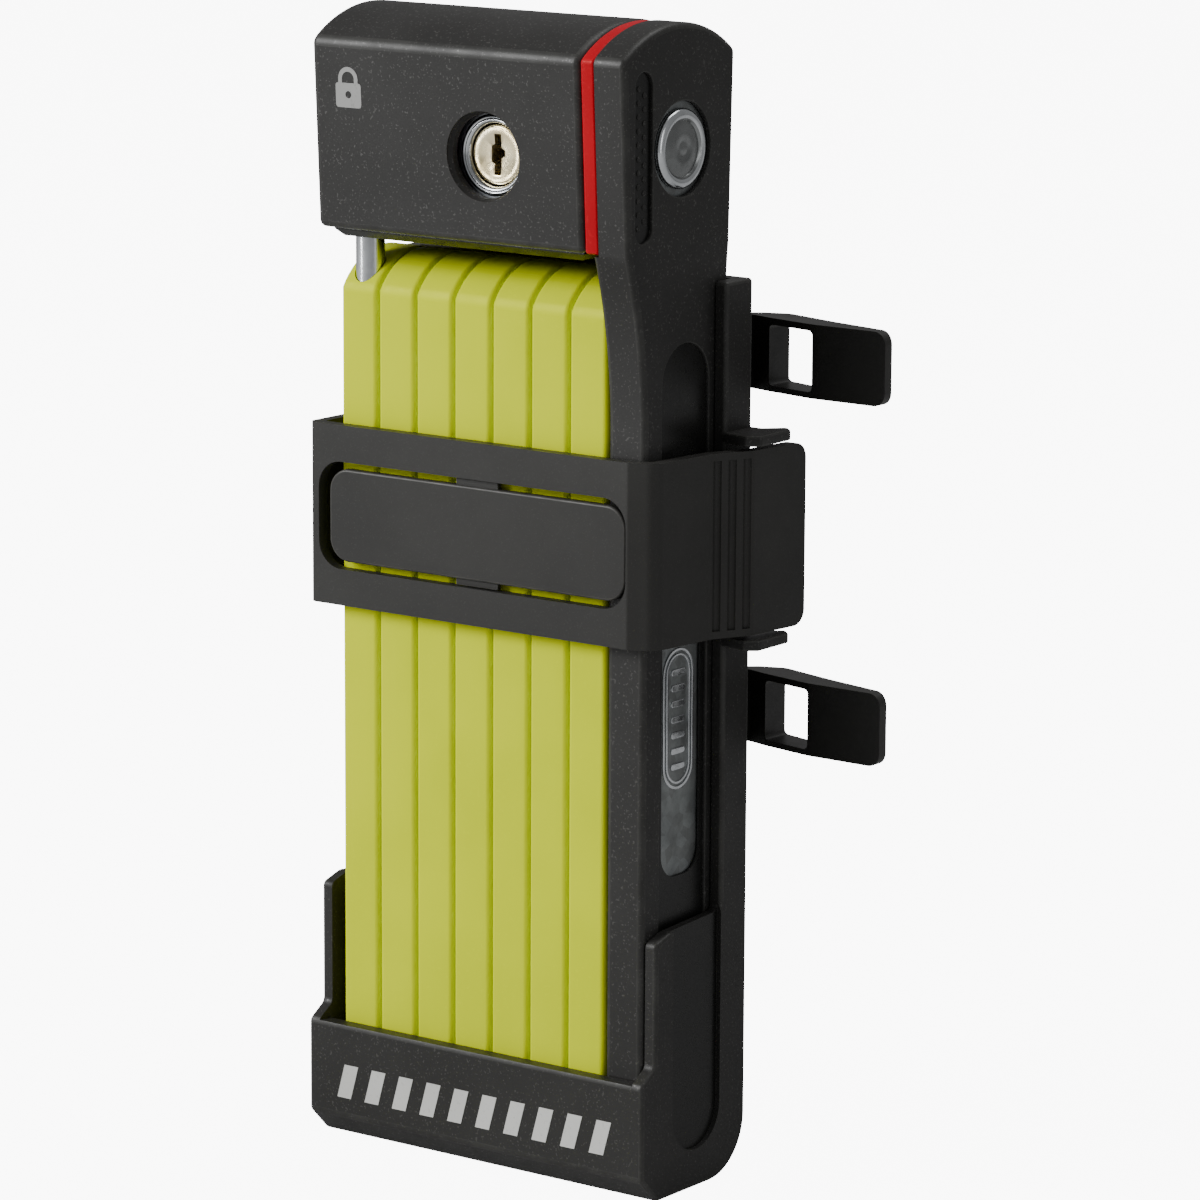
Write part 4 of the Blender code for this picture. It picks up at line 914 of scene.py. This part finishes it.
def build_key_parts():
    """Fixed cylinder with a double rim, and the brass plug that turns."""
    front, rear = -PLUG_FRONT, -PLUG_REAR
    r = CYLINDER_RADIUS
    inner = PLUG_RADIUS + CLOSE_FIT
    profile = [(inner, front - 0.9), (inner + 0.1, front - 0.2),
               (inner + 0.45, front + 0.28), (r - 0.75, front + 0.30),
               (r - 0.55, front + 0.12), (r - 0.35, front + 0.24),
               (r - 0.1, front + 0.1), (r, front - 0.2), (r, rear),
               (inner, rear)]
    rim = lathe("cylinder", profile, (KEY_X, 0, KEY_Z), "Y", 72)
    finish(rim, "cylinder_rim", BRIGHT_STEEL, "lock",
           ["lock_cylinder"], 50)
    r = PLUG_RADIUS
    profile = [(0, front - 0.95), (r * 0.35, front - 0.9),
               (r * 0.72, front - 0.7), (r - 0.55, front - 0.52),
               (r - 0.2, front - 0.62), (r, front - 0.9), (r, rear), (0, rear)]
    plug = lathe("plug", profile, (KEY_X, 0, KEY_Z), "Y", 72)
    deep = PLUG_REAR - 4
    keyway = [(-0.65, -3.3), (0.65, -3.3), (0.65, -0.6), (1.35, -0.2),
              (1.35, 0.7), (0.65, 1.1), (0.65, 3.3), (-0.65, 3.3),
              (-0.65, 1.7), (-1.3, 1.3), (-1.3, -1.2), (-0.65, -1.6)]
    outline = [(KEY_X + u, KEY_Z + v) for u, v in keyway]
    plug = cut(plug, prism("keyway", outline, -40, deep, "Y"))
    plug = ease(plug, 0.12, 2, 50,
                lambda e: max(v.co.y for v in e.verts) < (PLUG_FRONT + 1.6) * MM)
    finish(plug, "brass_key_plug", BRASS, "key", ["key_plug"], 50)


# --- holder -----------------------------------------------------------------

CUP_HEIGHT = 20.2
FLOOR = 3.6
SIDE_HEIGHT = 44.5
SIDE_FRONT = 10.4
TOE = 4.4
HEEL = 9.8
FLANGE_FRONT = BACK_Y1 - 7.4
WALL = 2.2


def holder_side():
    """Side view of the holder: cup, side walls, spine and rounded heel."""
    heel = arc((BACK_Y1 - HEEL, HEEL), HEEL, 270, 360)
    return ([(CUP_FRONT, CUP_HEIGHT), (CUP_FRONT, TOE), (CUP_FRONT + TOE, 0)]
            + heel
            + [(BACK_Y1, BACK_HEIGHT), (FLANGE_FRONT, BACK_HEIGHT)]
            + fillet([(FLANGE_FRONT, BACK_HEIGHT - 1),
                      (FLANGE_FRONT, SIDE_HEIGHT + 0.8),
                      (-SIDE_FRONT + 4.0, SIDE_HEIGHT),
                      (-SIDE_FRONT, SIDE_HEIGHT - 1.2),
                      (-SIDE_FRONT, CUP_HEIGHT + 2.4),
                      (CUP_FRONT + 0.8, CUP_HEIGHT + 0.6)],
                     [1.2, 2.0, 1.2, 1.4], 5)[1:])


def ledge(low):
    """Shelf on the right flange that keeps the strap tab in its place."""
    x0, x1 = CUP_HALF - 1.0, CUP_HALF + 6.6
    y0, y1 = FLANGE_FRONT - 1.0, BACK_Y1 + 3.0
    outline = fillet([(x0, y0 + 1.0), (x1 - 2.0, y0), (x1, y0 + 1.6),
                      (x1, y1 - 1.6), (x1 - 1.6, y1), (x0 + 3.0, BACK_Y1)],
                     [0.8, 0.8, 0.6, 0.6], 4)
    shelf = prism("ledge", outline + [(x0, BACK_Y1)], low, low + 1.8, "Z")
    return ease(shelf, 0.35, 2, 50)


def build_holder():
    holder = prism("holder", holder_side(), -CUP_HALF, CUP_HALF, "X")
    holder = ease(holder, 0.7, 4, 28)
    inner = CUP_HALF - WALL
    front = CUP_FRONT + 2.5
    room = [(front, FLOOR + 5.4), (front + 4.6, FLOOR), (BACK_Y0 - 4.4, FLOOR),
            (BACK_Y0, FLOOR + 5.4), (BACK_Y0, BACK_HEIGHT + 10),
            (CUP_FRONT - 9, BACK_HEIGHT + 10), (CUP_FRONT - 9, CUP_HEIGHT),
            (front, CUP_HEIGHT)]
    middle = FLANGE_FRONT - 6.6
    panel = slot_outline(middle, 13.2, 6.5, SIDE_HEIGHT + 20)
    depth = CUP_HALF - 0.8
    holder = cut(holder, prism("room", room, -inner, inner, "X"),
                 prism("panel", panel, depth, CUP_HALF + 1, "X"),
                 prism("panel", panel, -CUP_HALF - 1, -depth, "X"))
    holder = ease(holder, 0.3, 2, 50)
    holder = join(holder, ledge(STRAP_TOP + 0.7), ledge(STRAP_LOW - 2.5))
    for height in SCREW_HEIGHTS:
        wide, tall, end = BOSS
        holder = join(holder, block("boss", (-wide, BACK_Y1 - 1, height - tall),
                                    (wide, end, height + tall)))
        holder = cut(holder,
                     rod("shank", SCREW_RADIUS + CLOSE_FIT, (0, 0, height), 0,
                         end + 1, "Y"),
                     rod("head", SCREW_HEAD + CLOSE_FIT, (0, 0, height), 0,
                         BACK_Y0 + 2.15, "Y"))
    holder = finish(holder, "holder_moulding", HOLDER_BLACK, "holder",
                    ["holder_frame"])
    # The side panel floors take the darker black: painted shade.
    coat_painted_shade(holder, RECESS_GLOSS_SHADE, lambda at, way: abs(way.x) > 0.9 and (
        depth - 0.1 < abs(at.x) < depth + 0.1))


SCREW_RADIUS, SCREW_HEAD, SCREW_LENGTH = 2.0, 3.8, 8.2
SCREW_HEIGHTS = [(span(n)[0][2] + span(n)[1][2]) / 2
                 for n in ("saddle_lower", "saddle_upper")]


def build_screws():
    """Countersunk-socket screws that hold the saddles from inside."""
    head = -BACK_Y0 - CLOSE_FIT
    base = head - 2.0 + CLOSE_FIT
    tip = -BACK_Y0 - SCREW_LENGTH
    r = SCREW_HEAD
    profile = [(0, head - 0.2), (r - 0.6, head - 0.1), (r - 0.2, head - 0.35),
               (r, head - 0.8), (r, base), (SCREW_RADIUS, base)]
    for i in range(5):
        low = base - 0.6 - i
        profile += [(SCREW_RADIUS, low + 0.3), (SCREW_RADIUS - 0.3, low - 0.1),
                    (SCREW_RADIUS, low - 0.5)]
    profile += [(SCREW_RADIUS - 0.5, tip), (0, tip)]
    screw = lathe("saddle_screw", profile, (0, 0, SCREW_HEIGHTS[0]), "Y", 36)
    socket = [(2.0 * math.cos(math.radians(60 * i)),
               SCREW_HEIGHTS[0] + 2.0 * math.sin(math.radians(60 * i)))
              for i in range(6)]
    screw = cut(screw, prism("socket", socket, BACK_Y0 - 2, BACK_Y0 + 1.4, "Y"))
    rise = SCREW_HEIGHTS[1] - SCREW_HEIGHTS[0]
    row = row_of(screw, 2, (0, 0, 0), (0, 0, rise), STEEL)
    finish(row, "saddle_screws", STEEL, "holder",
           ["saddle_screw_lower", "saddle_screw_upper"])


SADDLE_REACH = span("saddle_upper")[1][0]
SADDLE_FOOT = 14.5                  # half width of the foot on the spine
SADDLE_BED = 6.8                    # thickness behind the spine
SADDLE_LIP = 13.9                   # from the spine to the root of a lip
SADDLE_HORN = 18.6                  # and to the crest of the cradle
SADDLE_SLOT = (29.2, 39.0)
BOSS = (10.0, 3.5, BACK_Y1 + 2.6)   # half width, half height, end


def saddle_plan():
    """Plan of a saddle: foot on the spine, two arms and two slotted lips."""
    reach = SADDLE_REACH
    inside, outside = SADDLE_SLOT
    tip = SADDLE_LIP - 3.5
    front = [(0, FIT), (SADDLE_FOOT, FIT), (inside - 4.6, SADDLE_LIP),
             (inside, SADDLE_LIP - 1.3), (outside, tip + 0.2), (reach, tip)]
    rear = [(reach, tip + 2.0), (outside + 0.6, tip + 5.2),
            (inside, SADDLE_HORN), (inside - 4.2, SADDLE_HORN - 1.6),
            (SADDLE_FOOT - 0.5, SADDLE_BED + 1.2), (0, SADDLE_BED)]
    right = fillet(front, [2.0, 1.6, 8.0, 12.0], 10)[1:]
    back = fillet(rear, [12.0, 3.0, 3.0, 10.0], 10)
    half = [(x, BACK_Y1 + y) for x, y in right + back]
    return half + [(-x, y) for x, y in reversed(half) if x > 0.01]


def build_saddle(node):
    low, high = span(node)
    saddle = prism("saddle", saddle_plan(), low[2], high[2], "Z")
    for side in (-1, 1):
        x = sorted(side * edge for edge in SADDLE_SLOT)
        opening = rounded_rect(x[0], x[1], low[2] + 1.0, low[2] + 11.1, 0.8, 4)
        saddle = cut(saddle, prism("slot", opening, 0, 60, "Y"))
    tips = prism("tips", rounded_rect(-SADDLE_REACH, SADDLE_REACH, low[2],
                                      high[2], 2.2, 8), 0, 60, "Y")
    saddle = combine(saddle, [tips], "INTERSECT")
    saddle = ease(saddle, 0.5, 3, 35)
    height = (low[2] + high[2]) / 2
    wide, tall, end = (size + CLOSE_FIT for size in BOSS)
    saddle = cut(saddle,
                 block("pocket", (-wide, 0, height - tall),
                       (wide, end, height + tall)),
                 rod("bore", SCREW_RADIUS + CLOSE_FIT, (0, 0, height), 0,
                     BACK_Y0 + SCREW_LENGTH + FIT, "Y", 40))
    finish(saddle, node + "_pad", SADDLE_RUBBER, "holder",
           [node])


# --- strap ------------------------------------------------------------------

OUTER_Y = BAND_LOW[1]
INNER_Y = OUTER_Y + STRAP_THICK
STRAP_LEFT = ANCHOR_LOW[0]
SIDE_X = LINK_X1 + 0.9 + STRAP_THICK
WINDOW = (STRAP_LEFT + 2.2, SIDE_X - 4.7, STRAP_LOW + 6.1, STRAP_TOP - 6.1)
WINDOW_RADIUS = 4.6


def strap_line():
    """Outer plan line from the back of the left arm to the tip of the tab."""
    y = OUTER_Y + 1.8
    return [(STRAP_LEFT, ANCHOR_HIGH[1]), (STRAP_LEFT, OUTER_Y),
            (SIDE_X - 4.4, OUTER_Y), (SIDE_X, y), (SIDE_X + 1.5, y + 13.2),
            (SIDE_X + 4.7, y + 19.7), (SIDE_X + 6.2, y + 32.7)]


def build_strap():
    """One elastomer loop: left arm, windowed front, side arm, ramp, tab."""
    points = strap_line()
    outer = fillet(points, [1.6, 1.2, 3.0, 5.0, 5.0], 10)
    inner_points = offset(points, STRAP_THICK)
    inner = fillet(inner_points, [0.5, 3.0, 1.2, 3.0, 6.0], 10)
    strap = prism("strap", outer + inner[::-1], STRAP_LOW, STRAP_TOP, "Z")
    strap = cut(strap, prism("window", rounded_rect(*WINDOW, WINDOW_RADIUS, 12),
                             OUTER_Y - 5, INNER_Y + 3, "Y"))
    tab = points[-1]
    for height, turn in ((STRAP_LOW, 1), (STRAP_TOP, -1)):
        bite = 2.6
        around = arc((tab[1] - bite, height + turn * bite), bite, 0, -90 * turn, 8)
        corner = [(tab[1] + 4, height + turn * bite)] + around
        corner += [(tab[1] - bite, height - turn * 2),
                   (tab[1] + 4, height - turn * 2)]
        strap = cut(strap, prism("corner", corner, SIDE_X, tab[0] + 6, "X"))
    strap = ease(strap, 0.45, 3, 38)
    start, end = Vector(points[4]), Vector(points[5])
    for share in (0.12, 0.5, 0.88):
        spot = start.lerp(end, share)
        strap = cut(strap, rod("grip", 0.8, (spot.x + 0.25, spot.y - 0.12, 0),
                               STRAP_LOW + 1.2, STRAP_TOP - 1.2, "Z", 24))
    bm = bmesh.new()
    bm.from_mesh(strap.data)
    for x in (-31.6 + 0.8 * i for i in range(7)):
        bmesh.ops.bisect_plane(bm, geom=bm.verts[:] + bm.edges[:] + bm.faces[:],
                               plane_co=(x * MM, 0, 0), plane_no=(1, 0, 0))
    for y in range(-10, -4):
        left = [f for f in bm.faces if f.calc_center_median().x < -0.031]
        geom = list({v for f in left for v in f.verts})
        geom += list({e for f in left for e in f.edges}) + left
        bmesh.ops.bisect_plane(bm, geom=geom, plane_co=(0, y * MM, 0),
                               plane_no=(0, 1, 0))
    bm.to_mesh(strap.data)
    bm.free()
    strap = finish(strap, "strap_loop", STRAP_RUBBER, None,
                   ["strap_band", "strap_anchor"], 38)
    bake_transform(strap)


def build_pad():
    """Centre panel that hangs between the rails on two short bridges."""
    left, right, low, high = WINDOW
    face = PAD_FACE
    outline = rounded_rect(left + 2.0, right - 0.3, low + 1.25, high - 1.25,
                           3.8, 12)
    pad = prism("pad", outline, face, face + 1.7, "Y")
    pad = ease(pad, 0.4, 3, 50)
    bridge = block("bridge", (-4.3, face + 0.5, low + CLOSE_FIT),
                   (4.3, face + 1.5, high - CLOSE_FIT))
    pad = join(pad, ease(bridge, 0.2, 2, 50))
    finish(pad, "strap_panel", STRAP_RUBBER, "strap",
           ["strap_pad"])


# --- small details ----------------------------------------------------------

def build_cup_marks():
    """A row of slanted bars printed across the front of the cup."""
    lean, wide, low, high = 1.6, 2.9, 7.6, 13.4
    outline = [(0, low), (wide, low), (wide + lean, high), (lean, high)]
    mark = prism("cup_mark", outline, CUP_FRONT - 0.04, CUP_FRONT + 0.25, "Y")
    row = row_of(mark, 10, (-28.6, 0, 0), (5.85, 0, 0), PRINT_PALE)
    finish(row, "cup_marks", PRINT_PALE, "holder")


def body_face(z):
    """Y of the leaning front face of the lock body at a height."""
    share = (z - BODY_Z) / (BODY_TOP - BODY_Z)
    return -FRONT_LOW - (FRONT_TOP - FRONT_LOW) * share


def build_badge():
    """A plain padlock sign on the top left of the body's face."""
    x, z = BODY_X0 + 7.5, BODY_TOP - 8.6
    sign = prism("sign", rounded_rect(x - 2.6, x + 2.6, z - 2.2, z + 1.8, 0.5, 6),
                 -0.04, 0.3, "Y")
    ring = arc((x, z + 2.4), 2.0, 0, 180, 20) + [(x - 2.0, z + 1.5)]
    inner = arc((x, z + 2.4), 1.25, 0, 180, 20) + [(x - 1.25, z + 1.5)]
    shackle = [(x + 2.0, z + 1.5)] + ring + inner[::-1] + [(x + 1.25, z + 1.5)]
    sign = join(sign, prism("shackle", shackle, -0.04, 0.3, "Y"))
    hole = arc((x, z - 0.1), 0.6, 0, 360, 20)[:-1]
    sign = cut(sign, prism("hole", hole, -1, 1, "Y"))
    for vertex in sign.data.vertices:
        vertex.co.y += body_face(vertex.co.z / MM) * MM
    finish(sign, "body_sign", PRINT_GREY, "lock")


def build_groove_beads():
    """Two staggered rows of beads on the floor of the head groove."""
    floor = LINK_X1 - 0.6
    profile = [(0, floor + 0.32), (0.28, floor + 0.26), (0.5, floor + 0.1),
               (0.55, floor - 0.1), (0, floor - 0.1)]
    bead = lathe("bead", profile, (0, 0, 0), "X", 10)
    row = row_of(bead, 21, (0, GROOVE_Y - 0.75, GROOVE_LOW + 2.4),
                 (0, 0, 1.1), BODY_BLACK, (0, 1.5, 0))
    finish(row, "groove_beads", BODY_BLACK, "lock")


def build_window_ribs():
    """Pressed ring and ribs on the steel plate in the link's window."""
    face, middle, low, high = LINK_CORE_X1, -0.3, 66.8, 90.2
    outline = rounded_rect(-1.9, 1.9, -0.55, 0.55, 0.54, 6)
    rib = prism("rib", outline, face - 0.2, face + 0.22, "X")
    rib = ease(rib, 0.14, 2, 50)
    row = row_of(rib, 7, (0, middle, low + 3.8), (0, 0, 2.6), BRIGHT_STEEL)
    finish(row, "window_ribs", BRIGHT_STEEL, "lock")
    rings = []
    for wide, line in ((8.4, 0.55), (6.6, 0.45)):
        grow = (8.4 - wide) / 2
        ring = prism("ring", slot_outline(middle, wide, low + grow, high - grow),
                     face - 0.2, face + 0.24, "X")
        hole = slot_outline(middle, wide - 2 * line, low + grow + line,
                            high - grow - line)
        rings.append(ease(cut(ring, prism("hole", hole, face - 1, face + 1, "X")),
                          0.12, 2, 50))
    finish(join(*rings), "window_ring", BRIGHT_STEEL, "lock")


def build_base_plate():
    """Polished plate under the works; the bars mirror in it."""
    low, high = span("body_base_plate")
    plate = block("plate", low, high)
    plate = ease(plate, 1.2, 1, 50, lambda e: max(
        v.co.z for v in e.verts) < (low[2] + 0.1) * MM)
    plate = cut(ease(plate, 0.15, 2, 40),
                rod("hole", PIN_RADIUS + FIT, (PIN_X, PIN_Y, 0), low[2] - 1,
                    high[2] + 1, "Z"))
    finish(plate, "base_plate", SHADE_STEEL, "lock",
           ["body_base_plate"])


def build_rear_skirt():
    """Apron of the lock body behind the tips of the bars."""
    skirt = block("skirt", (BODY_X0 + 1.5, REAR_LOW - 3.1, BACK_HEIGHT + 0.4),
                  (BODY_X1 - 1.5, REAR_LOW - 0.6, BODY_Z + 0.4))
    finish(ease(skirt, 0.4, 3, 50), "rear_skirt", BODY_BLACK, "lock")


def build_base_studs():
    """Two low studs under the lock body, over the tips of the bars."""
    top = BODY_Z + 0.3
    profile = [(0, top), (2.9, top), (2.9, top - 1.5), (2.6, top - 1.9),
               (1.8, top - 2.1), (0, top - 2.1)]
    stud = lathe("stud", profile, (0, 0, 0), "Z", 40)
    row = row_of(stud, 2, (-10.5, 4.5, 0), (16.0, 0, 0), BRIGHT_STEEL)
    finish(row, "base_studs", BRIGHT_STEEL, "lock")


def keep_packed_parts():
    """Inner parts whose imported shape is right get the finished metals."""
    metals = {"brass": ["plug_cam"],
              "plate": ["link_core"],
              "steel": ["lock_case",
                        "locking_bolt", "fold_rivet_1"]
              + ["bar_%d_core" % n for n in range(1, BAR_COUNT + 1)]}
    finishes = {"brass": BRASS, "plate": PLATE_STEEL, "steel": STEEL}
    for kind, names in metals.items():
        for name in names:
            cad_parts[name].material_slots[0].material = finishes[kind]


# --- studio -----------------------------------------------------------------

PAPER_GLOW = 9.0      # how bright the paper backdrop is to the eye
SKY_LIGHT = 0.26      # and how much light it really gives


def build_stage():
    mat, tree, shader, place = new_material("studio_floor")
    tone = noise(tree, scaled(tree, place, 3.0), 3.0, 0.5)
    tree.links.new(blend_colour(tree, tone, (0.50, 0.50, 0.50),
                                (0.54, 0.54, 0.54)), shader.inputs["Base Color"])
    shader.inputs["Roughness"].default_value = 0.95
    shader.inputs["Specular IOR Level"].default_value = 0.0
    shader.inputs["Emission Color"].default_value = (1, 1, 1, 1)
    seen = add(tree, "ShaderNodeLightPath").outputs["Is Camera Ray"]
    tree.links.new(maths(tree, "MULTIPLY", seen, PAPER_GLOW),
                   shader.inputs["Emission Strength"])
    bm = bmesh.new()
    bmesh.ops.create_circle(bm, cap_ends=True, radius=6.0, segments=96)
    floor = from_bmesh("studio_floor", bm)
    floor.data.materials.append(mat)


def add_softbox(name, place, target, size, power, tint=(1, 1, 1)):
    light = bpy.data.lights.new(name, "AREA")
    light.shape = "RECTANGLE"
    light.size, light.size_y = size
    light.energy = power
    light.color = tint
    obj = bpy.data.objects.new(name, light)
    obj.location = place
    aim = Vector(target) - Vector(place)
    obj.rotation_euler = aim.to_track_quat("-Z", "Y").to_euler()
    obj.visible_camera = False
    bpy.context.scene.collection.objects.link(obj)


def build_lights():
    middle = (0, 0, 0.10)
    add_softbox("key_softbox", (-1.05, -1.25, 0.95), middle, (0.8, 0.8), 36)
    add_softbox("side_softbox", (1.5, -0.35, 0.45), middle, (0.35, 1.2), 2.2)
    add_softbox("low_card", (-0.66, -0.86, 0.06), (0, 0, 0.16), (0.10, 0.085), 0.65)
    add_softbox("top_softbox", (0.25, 0.6, 1.6), middle, (1.0, 1.0), 10)
    world = bpy.data.worlds.new("studio")
    world.use_nodes = True
    sky = world.node_tree.nodes["Background"]
    sky.inputs["Color"].default_value = (1, 1, 1, 1)
    seen = add(world.node_tree, "ShaderNodeLightPath").outputs["Is Camera Ray"]
    glow = maths(world.node_tree, "MULTIPLY", seen, PAPER_GLOW)
    world.node_tree.links.new(maths(world.node_tree, "ADD", glow, SKY_LIGHT),
                              sky.inputs["Strength"])
    bpy.context.scene.world = world


def build_camera():
    azimuth, height, roll = (math.radians(a) for a in (36.438, 11.324, 0.297))
    back = Vector((math.sin(azimuth) * math.cos(height),
                   -math.cos(azimuth) * math.cos(height), math.sin(height)))
    right = Vector((math.cos(azimuth), math.sin(azimuth), 0))
    up = back.cross(right)
    x = math.cos(roll) * right + math.sin(roll) * up
    y = -math.sin(roll) * right + math.cos(roll) * up
    turn = Matrix((x, y, back)).transposed().to_4x4()
    data = bpy.data.cameras.new("camera")
    data.lens = 165.1
    data.sensor_width = 36.0
    camera = bpy.data.objects.new("camera", data)
    camera.matrix_world = Matrix.Translation((0.5363, -0.7055, 0.2716)) @ turn
    bpy.context.scene.collection.objects.link(camera)
    bpy.context.scene.camera = camera


build_camera()
build_lights()
build_stage()
build_sleeves()
build_rivets()
build_pin()
build_link()
build_head_rivet()
build_body()
build_key_parts()
build_holder()
build_screws()
build_saddle("saddle_upper")
build_saddle("saddle_lower")
build_strap()
build_pad()
build_cup_marks()
build_badge()
build_groove_beads()
build_window_ribs()
build_rear_skirt()
build_base_plate()
build_base_studs()
keep_packed_parts()
